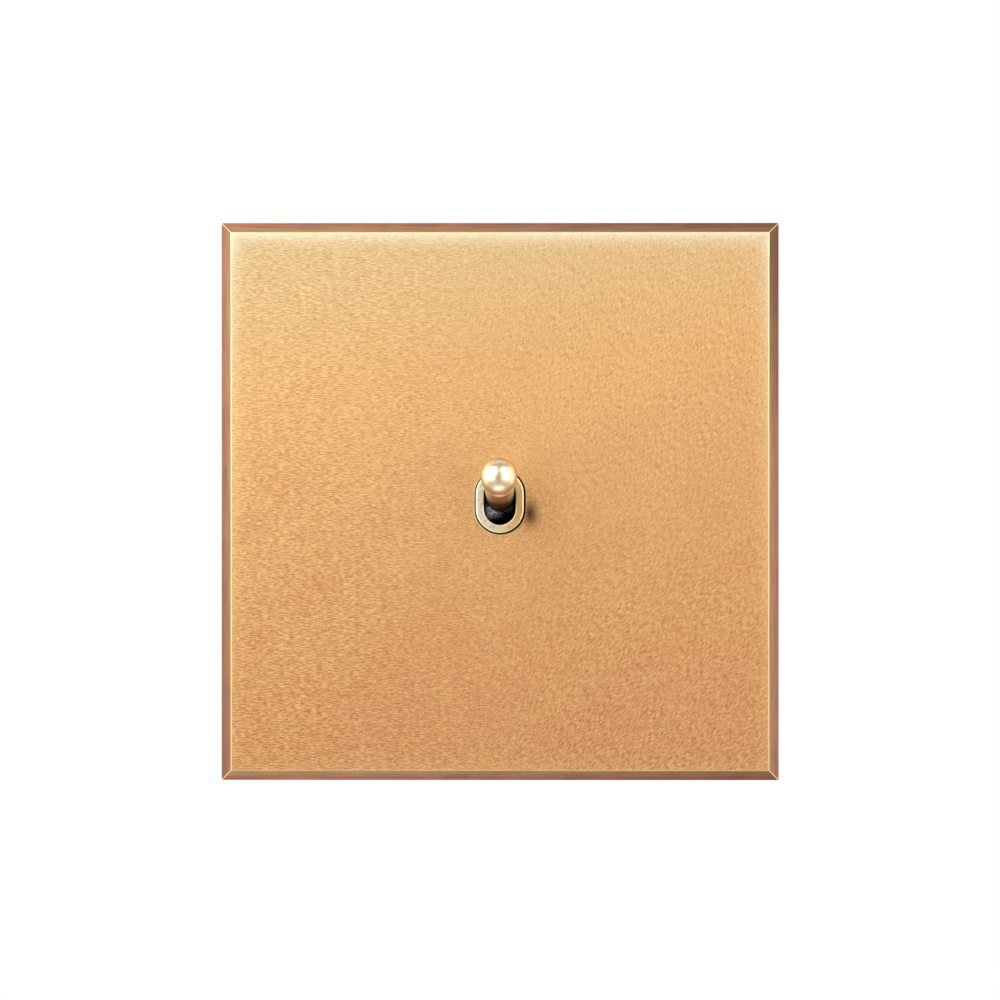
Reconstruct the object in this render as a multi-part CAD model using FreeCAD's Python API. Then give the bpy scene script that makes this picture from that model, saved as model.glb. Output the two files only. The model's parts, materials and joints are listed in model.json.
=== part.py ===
import FreeCAD, Part
import math
import os

# Flush-mounted toggle switch on a square bevelled brass plate, in millimetres.
# X runs to the right, Z up, and -Y out of the wall. The wall plane is y = 0 and
# the origin is the centre of the plate on that plane. The lever is stored tip up.

# ---- driving dimensions ----
PLATE_SIZE = 82.0
PLATE_DEPTH = 5.0
PLATE_BEVEL = 1.5
PLATE_WEB = 1.8
POCKET_SIZE = 73.0
POCKET_RADIUS = 3.5

RING_WIDTH, RING_HEIGHT = 7.05, 9.23
RING_PROUD = 0.8
RING_OPENING_WIDTH, RING_OPENING_HEIGHT = 4.66, 6.84
RING_LIP = 1.2
RING_WALL = 0.7
FLANGE_WIDTH, FLANGE_HEIGHT, FLANGE_THICK = 12.0, 14.0, 1.0
SLOT_GAP = 0.16

LEVER_TILT = 14.2
PIVOT_BEHIND_RING = 4.0
LEVER_LENGTH = 15.0
BALL_RADIUS = 2.7
PIN_RADIUS = 0.75
DRUM_RADIUS, DRUM_HALF_WIDTH = 2.7, 2.3
BARREL_RADIUS, BARREL_LENGTH = 2.3, 8.4
SPRING_BORE = 1.5

ROCKER_TILT = 6.0
WING_LEAN = 10.0
PIVOT_TO_ROCKER = 11.0
WING_LENGTH, STRIP_THICK = 9.6, 1.0
CONTACT_OUT = 8.0
CONTACT_GAP = 0.05

FRAME_SIZE, FRAME_THICK = 72.0, 1.2
BOX_SCREW_SPACING = 60.0
BOX_SLOT_RADIUS, BOX_SLOT_LENGTH = 1.9, 7.0

CASE_WIDTH, CASE_HEIGHT = 42.0, 38.0
CASE_RADIUS = 3.0
COVER_THICK = 3.5
CASE_BACK = 23.5

STRIP_FRONT = 11.2
BLOCK_LENGTH, BLOCK_SIZE = 8.0, 7.0
WIRE_OUT = 13.5
WIRE_RADIUS = 1.6
WINDOW_SIZE = 5.2
FIXING_X, FIXING_Z = 15.5, 13.5

# ---- places worked out from them ----
RING_FRONT = -PLATE_DEPTH - RING_PROUD
PIVOT_Y = RING_FRONT + PIVOT_BEHIND_RING
PIVOT = FreeCAD.Vector(0, PIVOT_Y, 0)
ROCKER_Y = PIVOT_Y + PIVOT_TO_ROCKER
ROCKER = FreeCAD.Vector(0, ROCKER_Y, 0)
STRIP_BACK = STRIP_FRONT + STRIP_THICK
BLOCK_BACK = STRIP_BACK + BLOCK_LENGTH
BLOCK_INNER, BLOCK_OUTER = WIRE_OUT - 3.5, WIRE_OUT - 3.5 + BLOCK_SIZE
CLAMP_SCREW_Y = STRIP_BACK + BLOCK_LENGTH / 2
BASE_BACK = BLOCK_BACK + 0.1

X, Y, Z = FreeCAD.Vector(1, 0, 0), FreeCAD.Vector(0, 1, 0), FreeCAD.Vector(0, 0, 1)


# ---- shape helpers ----
def block(x0, x1, y0, y1, z0, z1):
    """A box between two opposite corners."""
    return Part.makeBox(x1 - x0, y1 - y0, z1 - z0, FreeCAD.Vector(x0, y0, z0))


def rod(radius, start, length, axis=Y):
    """A round bar from start along axis."""
    return Part.makeCylinder(radius, length, FreeCAD.Vector(*start), axis)


def taper(radius_a, radius_b, start, length, axis=Y):
    """A cone frustum from start along axis."""
    return Part.makeCone(radius_a, radius_b, length, FreeCAD.Vector(*start), axis)


def rounded_plate(width, height, radius, y0, depth, x=0.0, z=0.0):
    """A plate parallel to the wall, with round corners, reaching depth back from y0."""
    w, h, diagonal = width / 2, height / 2, radius * (1 - math.sqrt(0.5))
    points = []
    for sx, sz in ((1, -1), (1, 1), (-1, 1), (-1, -1)):
        along_z = (sx * w, sz * (h - radius))
        middle = (sx * (w - diagonal), sz * (h - diagonal))
        along_x = (sx * (w - radius), sz * h)
        turn = (along_x, middle, along_z) if sx * sz < 0 else (along_z, middle, along_x)
        points.append([FreeCAD.Vector(x + px, y0, z + pz) for px, pz in turn])
    edges = []
    for corner, following in zip(points, points[1:] + points[:1]):
        edges.append(Part.Arc(*corner).toShape())
        if (corner[2] - following[0]).Length > 1e-6:
            edges.append(Part.LineSegment(corner[2], following[0]).toShape())
    return Part.Face(Part.Wire(edges)).extrude(Y * depth)


def stadium(width, height, y0, depth, x=0.0, z=0.0):
    """A slot-shaped bar, round at the ends of its longer side."""
    return rounded_plate(width, height, min(width, height) / 2 - 1e-4, y0, depth, x, z)


def turned(profile):
    """A turned part: points of distance ahead of the pivot and radius, or ('arc', middle, end)."""
    def at(point):
        return FreeCAD.Vector(0, PIVOT_Y - point[0], point[1])

    edges, here = [], at(profile[0])
    for step in profile[1:]:
        if step[0] == "arc":
            edges.append(Part.Arc(here, at(step[1]), at(step[2])).toShape())
            here = at(step[2])
        else:
            edges.append(Part.LineSegment(here, at(step)).toShape())
            here = at(step)
    edges.append(Part.LineSegment(here, at(profile[0])).toShape())
    return Part.Face(Part.Wire(edges)).revolve(PIVOT, Y, 360)


def turn(shape, centre, axis, degrees):
    """A copy turned about an axis through centre."""
    copy = shape.copy()
    copy.rotate(centre, axis, degrees)
    return copy


def tilted(shape):
    """Turns a shape built on the level lever axis to the stored, tip-up pose."""
    return turn(shape, PIVOT, X, -LEVER_TILT)


def save(name, *solids):
    """Writes one sub-part, as one solid or as a group of equal pieces."""
    shape = solids[0] if len(solids) == 1 else Part.makeCompound(list(solids))
    shape.exportStep(f"parts/{name}.step")
    print(f"{name}: {len(shape.Solids)} solid(s), {shape.Volume:.2f} mm3")


# ---- what is seen from the room ----
def face_plate():
    """A milled brass plate, bevelled at 45 degrees all round and hollow behind."""
    half = PLATE_SIZE / 2
    plate = block(-half, half, -PLATE_DEPTH, 0, -half, half)
    front = [e for e in plate.Edges if e.BoundBox.YMax < -PLATE_DEPTH + 1e-6]
    plate = plate.makeChamfer(PLATE_BEVEL, front)
    pocket_front = PLATE_WEB - PLATE_DEPTH
    plate = plate.cut(rounded_plate(POCKET_SIZE, POCKET_SIZE, POCKET_RADIUS, pocket_front, PLATE_DEPTH))
    gap = 2 * SLOT_GAP
    return plate.cut(stadium(RING_WIDTH + gap, RING_HEIGHT + gap, -PLATE_DEPTH - 1, PLATE_DEPTH))


def bezel_ring():
    """The slotted bushing: a proud lip, a wider bore behind it and a flange at the back."""
    body = stadium(RING_WIDTH, RING_HEIGHT, RING_FRONT, -RING_FRONT + FLANGE_THICK)
    rims = [e for e in body.Edges if e.BoundBox.YMax < RING_FRONT + 1e-6]
    body = body.makeChamfer(0.15, rims)
    body = body.fuse(rounded_plate(FLANGE_WIDTH, FLANGE_HEIGHT, 3.5, 0, FLANGE_THICK))
    length = -RING_FRONT + FLANGE_THICK
    body = body.cut(stadium(RING_OPENING_WIDTH, RING_OPENING_HEIGHT, RING_FRONT - 1, length))
    bore_width, bore_height = RING_WIDTH - 2 * RING_WALL, RING_HEIGHT - 2 * RING_WALL
    body = body.cut(stadium(bore_width, bore_height, RING_FRONT + RING_LIP, length))
    return body.cut(rod(PIN_RADIUS, (-FLANGE_WIDTH, PIVOT_Y, 0), 2 * FLANGE_WIDTH, X)).removeSplitter()


def toggle_lever():
    """Brass ball, tapered stem and a plain tail that the pivot pin passes through."""
    neck = 1.8
    ball_start = LEVER_LENGTH - math.sqrt(BALL_RADIUS**2 - neck**2)
    profile = [
        (-2.5, 0), (-2.5, 1.0), (-2.2, 1.3), (1.5, 1.3), (1.5, 1.95), (11.3, 2.3),
        ("arc", (11.9, 2.0), (12.5, neck)),
        (ball_start, neck),
        ("arc", (LEVER_LENGTH, BALL_RADIUS), (LEVER_LENGTH + BALL_RADIUS, 0)),
    ]
    lever = turned(profile)
    return tilted(lever.cut(rod(PIN_RADIUS + 0.03, (-5, PIVOT_Y, 0), 10, X)))


def toggle_carrier():
    """Black moulded drum that holds the lever, with a barrel behind for spring and plunger."""
    drum = rod(DRUM_RADIUS, (-DRUM_HALF_WIDTH, PIVOT_Y, 0), 2 * DRUM_HALF_WIDTH, X)
    drum = drum.makeChamfer(0.3, [e for e in drum.Edges if e.BoundBox.XLength < 1e-6])
    body = drum.fuse(rod(BARREL_RADIUS, (0, PIVOT_Y, 0), BARREL_LENGTH))
    body = body.cut(rod(2.0, (0, PIVOT_Y - 1.5, 0), 5, -Y))
    body = body.cut(rod(1.32, (0, PIVOT_Y + 2.6, 0), 5, -Y))
    body = body.cut(rod(SPRING_BORE + 0.05, (0, PIVOT_Y + 3.3, 0), BARREL_LENGTH))
    body = body.cut(rod(PIN_RADIUS + 0.03, (-5, PIVOT_Y, 0), 10, X))
    return tilted(body.removeSplitter())


def pivot_pin():
    """Steel pin driven through the bushing, which the lever and carrier turn on."""
    return rod(PIN_RADIUS, (-RING_WIDTH / 2 + 0.05, PIVOT_Y, 0), RING_WIDTH - 0.1, X)


def plunger():
    """Nylon pin with a round nose, pressed back by the spring onto the rocker."""
    nose, nose_radius = 9.15, 1.2
    body = rod(SPRING_BORE, (0, PIVOT_Y + 6.6, 0), 2.2)
    body = body.fuse(rod(nose_radius, (0, PIVOT_Y + 8.0, 0), nose - 8.0))
    ball = Part.makeSphere(nose_radius, FreeCAD.Vector(0, PIVOT_Y + nose, 0))
    return tilted(body.fuse(ball).removeSplitter())


def plunger_spring():
    """Coil spring in the barrel, squeezed between its floor and the plunger."""
    wire, coil, turns = 0.15, 1.15, 5
    start, length = PIVOT_Y + 3.3 + wire, 3.3 - 2 * wire
    helix = Part.makeHelix(length / turns, length, coil)
    helix.rotate(FreeCAD.Vector(0, 0, 0), X, -90)
    helix.translate(FreeCAD.Vector(0, start, 0))
    first = helix.Edges[0]
    section = Part.Circle(first.valueAt(first.FirstParameter), first.tangentAt(first.FirstParameter), wire)
    pipe = Part.Wire(helix.Edges).makePipeShell([Part.Wire(section.toShape())], True, True)
    return tilted(pipe)


# ---- the moving contact ----
def rocking(shape):
    """Turns a shape built on the level rocker to the stored pose, its lower contact closed."""
    return turn(shape, ROCKER, X, ROCKER_TILT)


def on_wing(shape, side):
    """Places a shape built level above the rocker's axis onto one wing."""
    leaned = turn(shape, ROCKER, X, WING_LEAN)
    return leaned if side > 0 else turn(leaned, ROCKER, Y, 180)


def contact_rocker():
    """Formed copper strip in a shallow V on round trunnions."""
    half = STRIP_THICK / 2
    rocker = rod(half, (-5, ROCKER_Y, 0), 10, X)
    for side in (1, -1):
        rocker = rocker.fuse(rod(0.8, (side * 3.2, ROCKER_Y, 0), 1.8, X * side))
        wing = block(-3.5, 3.5, ROCKER_Y - half, ROCKER_Y + half, -0.05, WING_LENGTH)
        rocker = rocker.fuse(on_wing(wing, side))
    for side in (1, -1):
        hole = rod(1.0, (0, ROCKER_Y - 2, CONTACT_OUT), 4)
        rocker = rocker.cut(on_wing(hole, side))
    return rocking(rocker.removeSplitter())


def contact_rivet(radius, front, shank_end, head):
    """A domed silver rivet facing the room, its head standing head mm clear of the strip."""
    dome = 0.3
    body = rod(radius, (0, front + dome, 0), head - dome)
    body = body.fuse(rod(1.0, (0, front + head, 0), shank_end - front - head))
    sphere_radius = (radius**2 + dome**2) / (2 * dome)
    ball = Part.makeSphere(sphere_radius, FreeCAD.Vector(0, front + sphere_radius, 0))
    cap = ball.common(rod(radius, (0, front, 0), dome))
    return body.fuse(cap).removeSplitter()


def moving_contact(side):
    """A rivet on the back of one wing."""
    rivet = contact_rivet(1.5, 0, 0.9 + STRIP_THICK, 0.9)
    rivet = turn(rivet, FreeCAD.Vector(0, 0, 0), Z, 180)
    rivet.translate(FreeCAD.Vector(0, ROCKER_Y + STRIP_THICK / 2 + 0.9, CONTACT_OUT))
    return rocking(on_wing(rivet, side))


def closed_contact_tip():
    """How far back the closed moving contact reaches, and its height."""
    lean = math.radians(WING_LEAN - ROCKER_TILT)
    reach = STRIP_THICK / 2 + 0.9
    tip_y = ROCKER_Y - CONTACT_OUT * math.sin(lean) + reach * math.cos(lean)
    return tip_y, CONTACT_OUT * math.cos(lean) + reach * math.sin(lean)


# ---- the fixed conductors: built pointing down, then turned about the switch's middle ----
def facing(shape, degrees):
    """Turns a terminal built at the bottom of the case round to another side."""
    return turn(shape, FreeCAD.Vector(0, 0, 0), Y, degrees)


def terminal_block():
    """Pillar terminal: wire hole from behind, clamp screw from the side, riveted to its strip."""
    half = BLOCK_SIZE / 2
    body = block(-half, half, STRIP_BACK, BLOCK_BACK, -BLOCK_OUTER, -BLOCK_INNER)
    body = body.makeChamfer(0.4, [e for e in body.Edges if e.BoundBox.YLength > BLOCK_LENGTH - 0.1])
    body = body.fuse(rod(0.8, (0, STRIP_FRONT - 0.3, -BLOCK_INNER - 1.0), STRIP_THICK + 0.3))
    body = body.cut(rod(WIRE_RADIUS, (0, STRIP_BACK - 0.001, -WIRE_OUT), BLOCK_LENGTH + 1))
    return body.cut(rod(1.55, (0, CLAMP_SCREW_Y, -WIRE_OUT), BLOCK_SIZE, -Z))


def terminal_screw():
    """Slotted clamp screw, backed out so that the wire hole is free."""
    top = -WIRE_OUT - WIRE_RADIUS - 0.2
    head = -BLOCK_OUTER - 0.2
    screw = rod(1.5, (0, CLAMP_SCREW_Y, top), top - head, -Z)
    screw = screw.fuse(rod(2.0, (0, CLAMP_SCREW_Y, head), 1.6, -Z))
    slot = block(-0.3, 0.3, CLAMP_SCREW_Y - 3, CLAMP_SCREW_Y + 3, head - 2, head - 0.8)
    return screw.cut(slot)


def contact_strip():
    """Flat brass strip from a fixed contact out to its terminal block."""
    strip = block(-3, 3, STRIP_FRONT, STRIP_BACK, -BLOCK_OUTER + 0.2, -5.9)
    strip = strip.cut(rod(1.0, (0, STRIP_FRONT - 1, -closed_contact_tip()[1]), 3))
    return strip.cut(rod(0.82, (0, STRIP_FRONT - 1, -BLOCK_INNER - 1.0), 3))


def fixed_contact():
    """Silver rivet on a contact strip."""
    tip_y, out = closed_contact_tip()
    front = tip_y + CONTACT_GAP
    rivet = contact_rivet(1.6, front, STRIP_BACK, STRIP_FRONT - front)
    rivet.translate(FreeCAD.Vector(0, 0, -out))
    return rivet


def common_saddle():
    """Brass bracket whose two notched ears carry the rocker, with a leg to its terminal."""
    saddle = block(-BLOCK_OUTER + 0.2, 4.65, STRIP_FRONT, STRIP_BACK, -2.5, 2.5)
    for side in (1, -1):
        inner, outer = sorted((side * 3.75, side * 4.65))
        saddle = saddle.fuse(block(inner, outer, ROCKER_Y - 0.8, STRIP_FRONT, -2, 2))
    notch = rod(0.88, (-6, ROCKER_Y, 0), 12, X)
    saddle = saddle.cut(notch).cut(block(-6, 6, ROCKER_Y - 2, ROCKER_Y, -0.88, 0.88))
    return saddle.cut(rod(0.82, (-BLOCK_INNER - 1.0, STRIP_FRONT - 1, 0), 3)).removeSplitter()


# ---- the case ----
def corner_pairs(x_sign):
    """Two diagonally opposite corners of the case."""
    return [(x_sign * FIXING_X, FIXING_Z), (-x_sign * FIXING_X, -FIXING_Z)]


def mechanism_cover():
    """Front half of the moulded case: holds the bushing's flange and presses on the strips."""
    cover = rounded_plate(CASE_WIDTH, CASE_HEIGHT, CASE_RADIUS, 0, COVER_THICK)
    for degrees in (0, 90, 180):
        rib = block(-2.4, 2.4, COVER_THICK - 0.5, STRIP_FRONT - 0.1, -16.4, -12.6)
        cover = cover.fuse(facing(rib, degrees))
    cover = cover.cut(rounded_plate(FLANGE_WIDTH + 0.3, FLANGE_HEIGHT + 0.3, 3.6, -1, FLANGE_THICK + 1.05))
    cover = cover.cut(stadium(6.6, 9.6, -1, COVER_THICK + 2))
    for x, z in corner_pairs(-1):
        cover = cover.cut(rod(1.7, (x, -1, z), COVER_THICK + 2))
    for x, z in corner_pairs(1):
        cover = cover.cut(rod(1.55, (x, -1, z), COVER_THICK + 2))
        cover = cover.cut(rod(2.8, (x, -1, z), 1.95))
    return cover.removeSplitter()


def mechanism_base():
    """Middle of the moulded case: contact chamber, three terminal pockets, screwdriver ways."""
    depth = BASE_BACK - COVER_THICK
    base = rounded_plate(CASE_WIDTH, CASE_HEIGHT, CASE_RADIUS, COVER_THICK, depth)
    base = base.cut(block(-5.6, 5.6, COVER_THICK - 1, STRIP_BACK, -11.6, 11.6))
    base = base.cut(block(-BLOCK_INNER - 0.1, -5, COVER_THICK - 1, STRIP_BACK, -2.6, 2.6))
    half = BLOCK_SIZE / 2 + 0.1
    for degrees in (0, 90, 180):
        pocket = block(-half, half, COVER_THICK - 1, CASE_BACK, -BLOCK_OUTER - 0.1, -BLOCK_INNER + 0.1)
        way = rod(2.4, (0, CLAMP_SCREW_Y, -BLOCK_OUTER), 9, -Z)
        base = base.cut(facing(pocket, degrees)).cut(facing(way, degrees))
    for x, z in corner_pairs(-1):
        base = base.cut(rod(2.3, (x, COVER_THICK - 1, z), 7.6))
    for x, z in corner_pairs(1):
        base = base.cut(rod(1.55, (x, COVER_THICK - 1, z), depth + 2))
    return base.removeSplitter()


def window_outline(half, y):
    """A square around a wire's centre line, parallel to the wall."""
    corners = [(-half, -half), (half, -half), (half, half), (-half, half), (-half, -half)]
    return Part.makePolygon([FreeCAD.Vector(x, y, z - WIRE_OUT) for x, z in corners])


def terminal_cover():
    """Back of the moulded case, with a square window, flared at its rim, behind each wire hole."""
    cover = rounded_plate(CASE_WIDTH, CASE_HEIGHT, CASE_RADIUS, BASE_BACK, CASE_BACK - BASE_BACK)
    inner, outer, lead_in = WINDOW_SIZE / 2, WINDOW_SIZE / 2 + 0.8, 1.2
    for degrees in (0, 90, 180):
        window = block(-inner, inner, BASE_BACK - 1, CASE_BACK + 1, -WIRE_OUT - inner, -WIRE_OUT + inner)
        outlines = [window_outline(inner, CASE_BACK - lead_in), window_outline(outer, CASE_BACK)]
        funnel = Part.makeLoft(outlines, True)
        cover = cover.cut(facing(window, degrees)).cut(facing(funnel, degrees))
    for x, z in corner_pairs(1):
        cover = cover.cut(rod(1.55, (x, BASE_BACK - 1, z), 9))
        cover = cover.cut(rod(2.6, (x, CASE_BACK - 0.7, z), 2))
    return cover.removeSplitter()


def housing_rivet(x, z):
    """Tubular rivet through the whole case, its front head sunk in the cover."""
    body = rod(1.5, (x, 0.15, z), CASE_BACK - 0.2)
    body = body.fuse(rod(2.6, (x, 0.15, z), 0.75)).fuse(rod(2.4, (x, CASE_BACK - 0.65, z), 0.6))
    return body.cut(rod(0.8, (x, 1.5, z), CASE_BACK)).removeSplitter()


def threaded_insert(x, z):
    """Brass insert in the base for a mechanism screw."""
    insert = rod(2.25, (x, COVER_THICK + 0.1, z), 6.0)
    return insert.cut(rod(1.55, (x, COVER_THICK - 1, z), 9))


def mechanism_screw(x, z):
    """Countersunk screw through the frame and cover into an insert."""
    head_radius, shank = 2.7, 1.5
    screw = taper(head_radius, shank, (x, -FRAME_THICK, z), FRAME_THICK)
    screw = screw.fuse(rod(shank, (x, -FRAME_THICK, z), 10.5))
    cross = block(-1.4, 1.4, -FRAME_THICK - 1, -FRAME_THICK + 0.7, -0.25, 0.25)
    cross = cross.fuse(turn(cross, FreeCAD.Vector(0, 0, 0), Y, 90))
    cross.translate(FreeCAD.Vector(x, 0, z))
    return screw.cut(cross).removeSplitter()


# ---- behind the plate ----
EARTH_X, EARTH_Z = -11.5, -23.6
FINGER_X, FINGER_Z = 20.5, -22.0


def support_frame():
    """Zinc-plated steel frame screwed to the wall box; everything else hangs on it."""
    frame = rounded_plate(FRAME_SIZE, FRAME_SIZE, 4, -FRAME_THICK, FRAME_THICK)
    through = (-FRAME_THICK - 1, FRAME_THICK + 2)
    frame = frame.cut(stadium(RING_WIDTH + 0.3, RING_HEIGHT + 0.3, *through))
    half = BOX_SCREW_SPACING / 2
    for side in (1, -1):
        width = 2 * BOX_SLOT_RADIUS
        frame = frame.cut(stadium(BOX_SLOT_LENGTH, width, *through, x=side * half))
        frame = frame.cut(stadium(width, BOX_SLOT_LENGTH, *through, z=side * half))
    for x, z in corner_pairs(-1):
        frame = frame.cut(taper(2.75, 1.55, (x, -FRAME_THICK, z), FRAME_THICK))
    frame = frame.cut(rod(1.85, (EARTH_X, through[0], EARTH_Z), through[1]))
    frame = frame.cut(rod(0.82, (FINGER_X, through[0], FINGER_Z), through[1]))
    return frame.removeSplitter()


def plate_magnet(x, z):
    """Disc magnet glued behind the plate; it holds the plate to the steel frame."""
    front = PLATE_WEB - PLATE_DEPTH
    return rod(4.0, (x, front, z), -FRAME_THICK - front)


def earth_screw():
    """Slotted pan-head screw that clamps the earth wire behind the frame."""
    head = 1.6
    screw = rod(2.9, (EARTH_X, -FRAME_THICK - head, EARTH_Z), head)
    screw = screw.fuse(rod(1.75, (EARTH_X, -FRAME_THICK - head, EARTH_Z), head + 7.5))
    slot = block(-4, 4, -FRAME_THICK - head - 1, -FRAME_THICK - 0.8, -0.4, 0.4)
    slot.translate(FreeCAD.Vector(EARTH_X, 0, EARTH_Z))
    return screw.cut(slot)


def earth_clamp_plate():
    """Square nut plate with a turned-up lip, run down to leave room for the wire."""
    plate = block(EARTH_X - 4, EARTH_X + 4, 2.8, 4.4, EARTH_Z - 4, EARTH_Z + 4)
    plate = plate.fuse(block(EARTH_X - 4, EARTH_X - 3, 1.0, 4.4, EARTH_Z - 4, EARTH_Z + 4))
    return plate.cut(rod(1.8, (EARTH_X, 0, EARTH_Z), 9)).removeSplitter()


def earth_contact_spring():
    """Bronze finger riveted to the frame that presses on the back of the plate."""
    thick, width = 0.3, 4.0
    touch = PLATE_WEB - PLATE_DEPTH + 0.05
    foot = -FRAME_THICK
    under = [(17.5, foot), (23.5, foot), (27.5, touch + thick), (29.0, touch + thick), (31.0, -2.0)]
    over = [(31.0, -2.0 - thick), (29.3, touch), (27.3, touch), (23.3, foot - thick), (17.5, foot - thick)]
    points = [FreeCAD.Vector(x, y, FINGER_Z - width / 2) for x, y in under + over]
    face = Part.Face(Part.makePolygon(points + points[:1]))
    finger = face.extrude(Z * width)
    return finger.cut(rod(0.82, (FINGER_X, -5, FINGER_Z), 6))


def earth_spring_rivet():
    """Small rivet through the finger's foot and the frame."""
    head = -FRAME_THICK - 0.3 - 0.5
    return rod(1.4, (FINGER_X, head, FINGER_Z), 0.5).fuse(rod(0.8, (FINGER_X, head, FINGER_Z), -head))


def main():
    os.makedirs("parts", exist_ok=True)
    save("face_plate", face_plate())
    save("bezel_ring", bezel_ring())
    save("toggle_lever", toggle_lever())
    save("toggle_carrier", toggle_carrier())
    save("pivot_pin", pivot_pin())
    save("plunger", plunger())
    save("plunger_spring", plunger_spring())
    save("contact_rocker", contact_rocker())
    save("moving_contacts", moving_contact(1), moving_contact(-1))
    save("common_saddle", common_saddle())
    for name, degrees in (("lower", 0), ("common", 90), ("upper", 180)):
        save(f"{name}_terminal_block", facing(terminal_block(), degrees))
    for name, degrees in (("lower", 0), ("upper", 180)):
        save(f"{name}_contact_strip", facing(contact_strip(), degrees))
    save("fixed_contacts", *[facing(fixed_contact(), degrees) for degrees in (0, 180)])
    save("terminal_screws", *[facing(terminal_screw(), degrees) for degrees in (0, 90, 180)])
    save("mechanism_cover", mechanism_cover())
    save("mechanism_base", mechanism_base())
    save("terminal_cover", terminal_cover())
    save("housing_rivets", *[housing_rivet(x, z) for x, z in corner_pairs(1)])
    save("threaded_inserts", *[threaded_insert(x, z) for x, z in corner_pairs(-1)])
    save("mechanism_screws", *[mechanism_screw(x, z) for x, z in corner_pairs(-1)])
    save("support_frame", support_frame())
    save("plate_magnets", *[plate_magnet(x, z) for x in (-29, 29) for z in (-29, 29)])
    save("earth_screw", earth_screw())
    save("earth_clamp_plate", earth_clamp_plate())
    save("earth_contact_spring", earth_contact_spring())
    save("earth_spring_rivet", earth_spring_rivet())


main()
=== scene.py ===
# %% [markdown]
# # A toggle wall switch in antique brass
# The plate, the slotted bushing and the lever are what people see and touch. Behind the plate hang
# a steel frame, a moulded case with its terminals, an earth screw and four magnets. The engineering
# model fixes every size; this lesson gives each piece its rounded edges and its real finish.

# %% The fixed model
import json
import math
from functools import partial
import bmesh
import bpy
from mathutils import Matrix, Vector


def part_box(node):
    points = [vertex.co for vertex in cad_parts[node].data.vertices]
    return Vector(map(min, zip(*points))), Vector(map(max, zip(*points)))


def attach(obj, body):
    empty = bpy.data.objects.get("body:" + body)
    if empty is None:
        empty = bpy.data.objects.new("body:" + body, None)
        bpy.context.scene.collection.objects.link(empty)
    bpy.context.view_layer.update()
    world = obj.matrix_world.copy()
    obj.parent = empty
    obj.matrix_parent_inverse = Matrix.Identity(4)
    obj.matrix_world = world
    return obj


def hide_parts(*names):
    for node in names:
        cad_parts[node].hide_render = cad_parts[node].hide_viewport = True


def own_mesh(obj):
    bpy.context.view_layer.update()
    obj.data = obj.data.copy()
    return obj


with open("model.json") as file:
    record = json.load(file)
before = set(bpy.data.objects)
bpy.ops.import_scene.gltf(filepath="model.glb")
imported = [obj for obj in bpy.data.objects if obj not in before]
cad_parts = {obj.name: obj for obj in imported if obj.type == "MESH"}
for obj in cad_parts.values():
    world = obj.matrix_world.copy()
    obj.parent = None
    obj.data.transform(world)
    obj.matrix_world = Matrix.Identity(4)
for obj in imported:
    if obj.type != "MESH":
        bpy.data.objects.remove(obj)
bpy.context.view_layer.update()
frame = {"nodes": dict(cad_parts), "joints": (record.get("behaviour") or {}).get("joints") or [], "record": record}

MM = 0.001
plain_materials = list(bpy.data.materials)
for plain in plain_materials:
    plain.name = "plain_" + plain.name


# %% [markdown]
# Every node tree in this file, for a finish or for geometry, is written with one small function
# that adds a node, sets its properties, fills or links its inputs and hands back an output to link
# on. Colours are given in sRGB, so one function turns their hex values to the linear values that
# shaders work in.

# %% Nodes and colours
MIX, RANGE, SPLIT = "ShaderNodeMix", "ShaderNodeMapRange", "ShaderNodeSeparateXYZ"
TINT = {"data_type": "RGBA", "out": 2}
SMOOTH = {"interpolation_type": "SMOOTHSTEP"}


def linear(colour):
    """An sRGB hex colour as linear red, green, blue and full alpha."""
    parts = [int(colour[i:i + 2], 16) / 255 for i in (0, 2, 4)]
    return [c / 12.92 if c <= 0.04045 else ((c + 0.055) / 1.055) ** 2.4 for c in parts] + [1.0]


def add(tree, kind, inputs=(), out=0, **settings):
    """A new node; a kind in capitals is an operation of the Math node. inputs are values, hex colours
    or outputs to link, in order or by name or number. Returns the output called or numbered out."""
    if kind.isupper():
        kind, settings = "ShaderNodeMath", {"operation": kind}
    made = tree.nodes.new(kind)
    for name, value in settings.items():
        setattr(made, name, value)
    for name, value in inputs.items() if isinstance(inputs, dict) else enumerate(inputs):
        if isinstance(value, bpy.types.NodeSocket):
            tree.links.new(value, made.inputs[name])
        elif isinstance(value, str) and made.inputs[name].type == "RGBA":
            made.inputs[name].default_value = linear(value)
        else:
            made.inputs[name].default_value = value
    return made.outputs[out] if len(made.outputs) else None


# %% [markdown]
# Hardware is best looked at square on, from far enough away that nothing widens towards the lens.
# A metre and a long lens give that flat, honest view, and the camera stands level with the middle
# of the plate.

# %% Camera
plate_low, plate_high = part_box("face_plate")
plate_size = plate_high.x - plate_low.x
plate_front = plate_low.y
VIEW_DISTANCE = 1.0
VIEW_WIDTH = 1.7925 * plate_size
AIM_RIGHT, AIM_UP, STEP_RIGHT = 0.02 * MM, 0.22 * MM, 13.6 * MM

camera_data = bpy.data.cameras.new("camera")
camera_data.sensor_width = 36
camera_data.lens = 36 * VIEW_DISTANCE / VIEW_WIDTH
camera_data.clip_start, camera_data.clip_end = 0.05, 10
camera = bpy.data.objects.new("camera", camera_data)
aim = Vector((AIM_RIGHT, plate_front, AIM_UP))
camera.location = aim + Vector((STEP_RIGHT, -VIEW_DISTANCE, 0))
camera.rotation_euler = (aim - camera.location).to_track_quat("-Z", "Y").to_euler()
bpy.context.scene.collection.objects.link(camera)
bpy.context.scene.camera = camera
print("lens", round(camera_data.lens, 1), "mm, field", round(VIEW_WIDTH / MM, 1), "mm wide")


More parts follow.
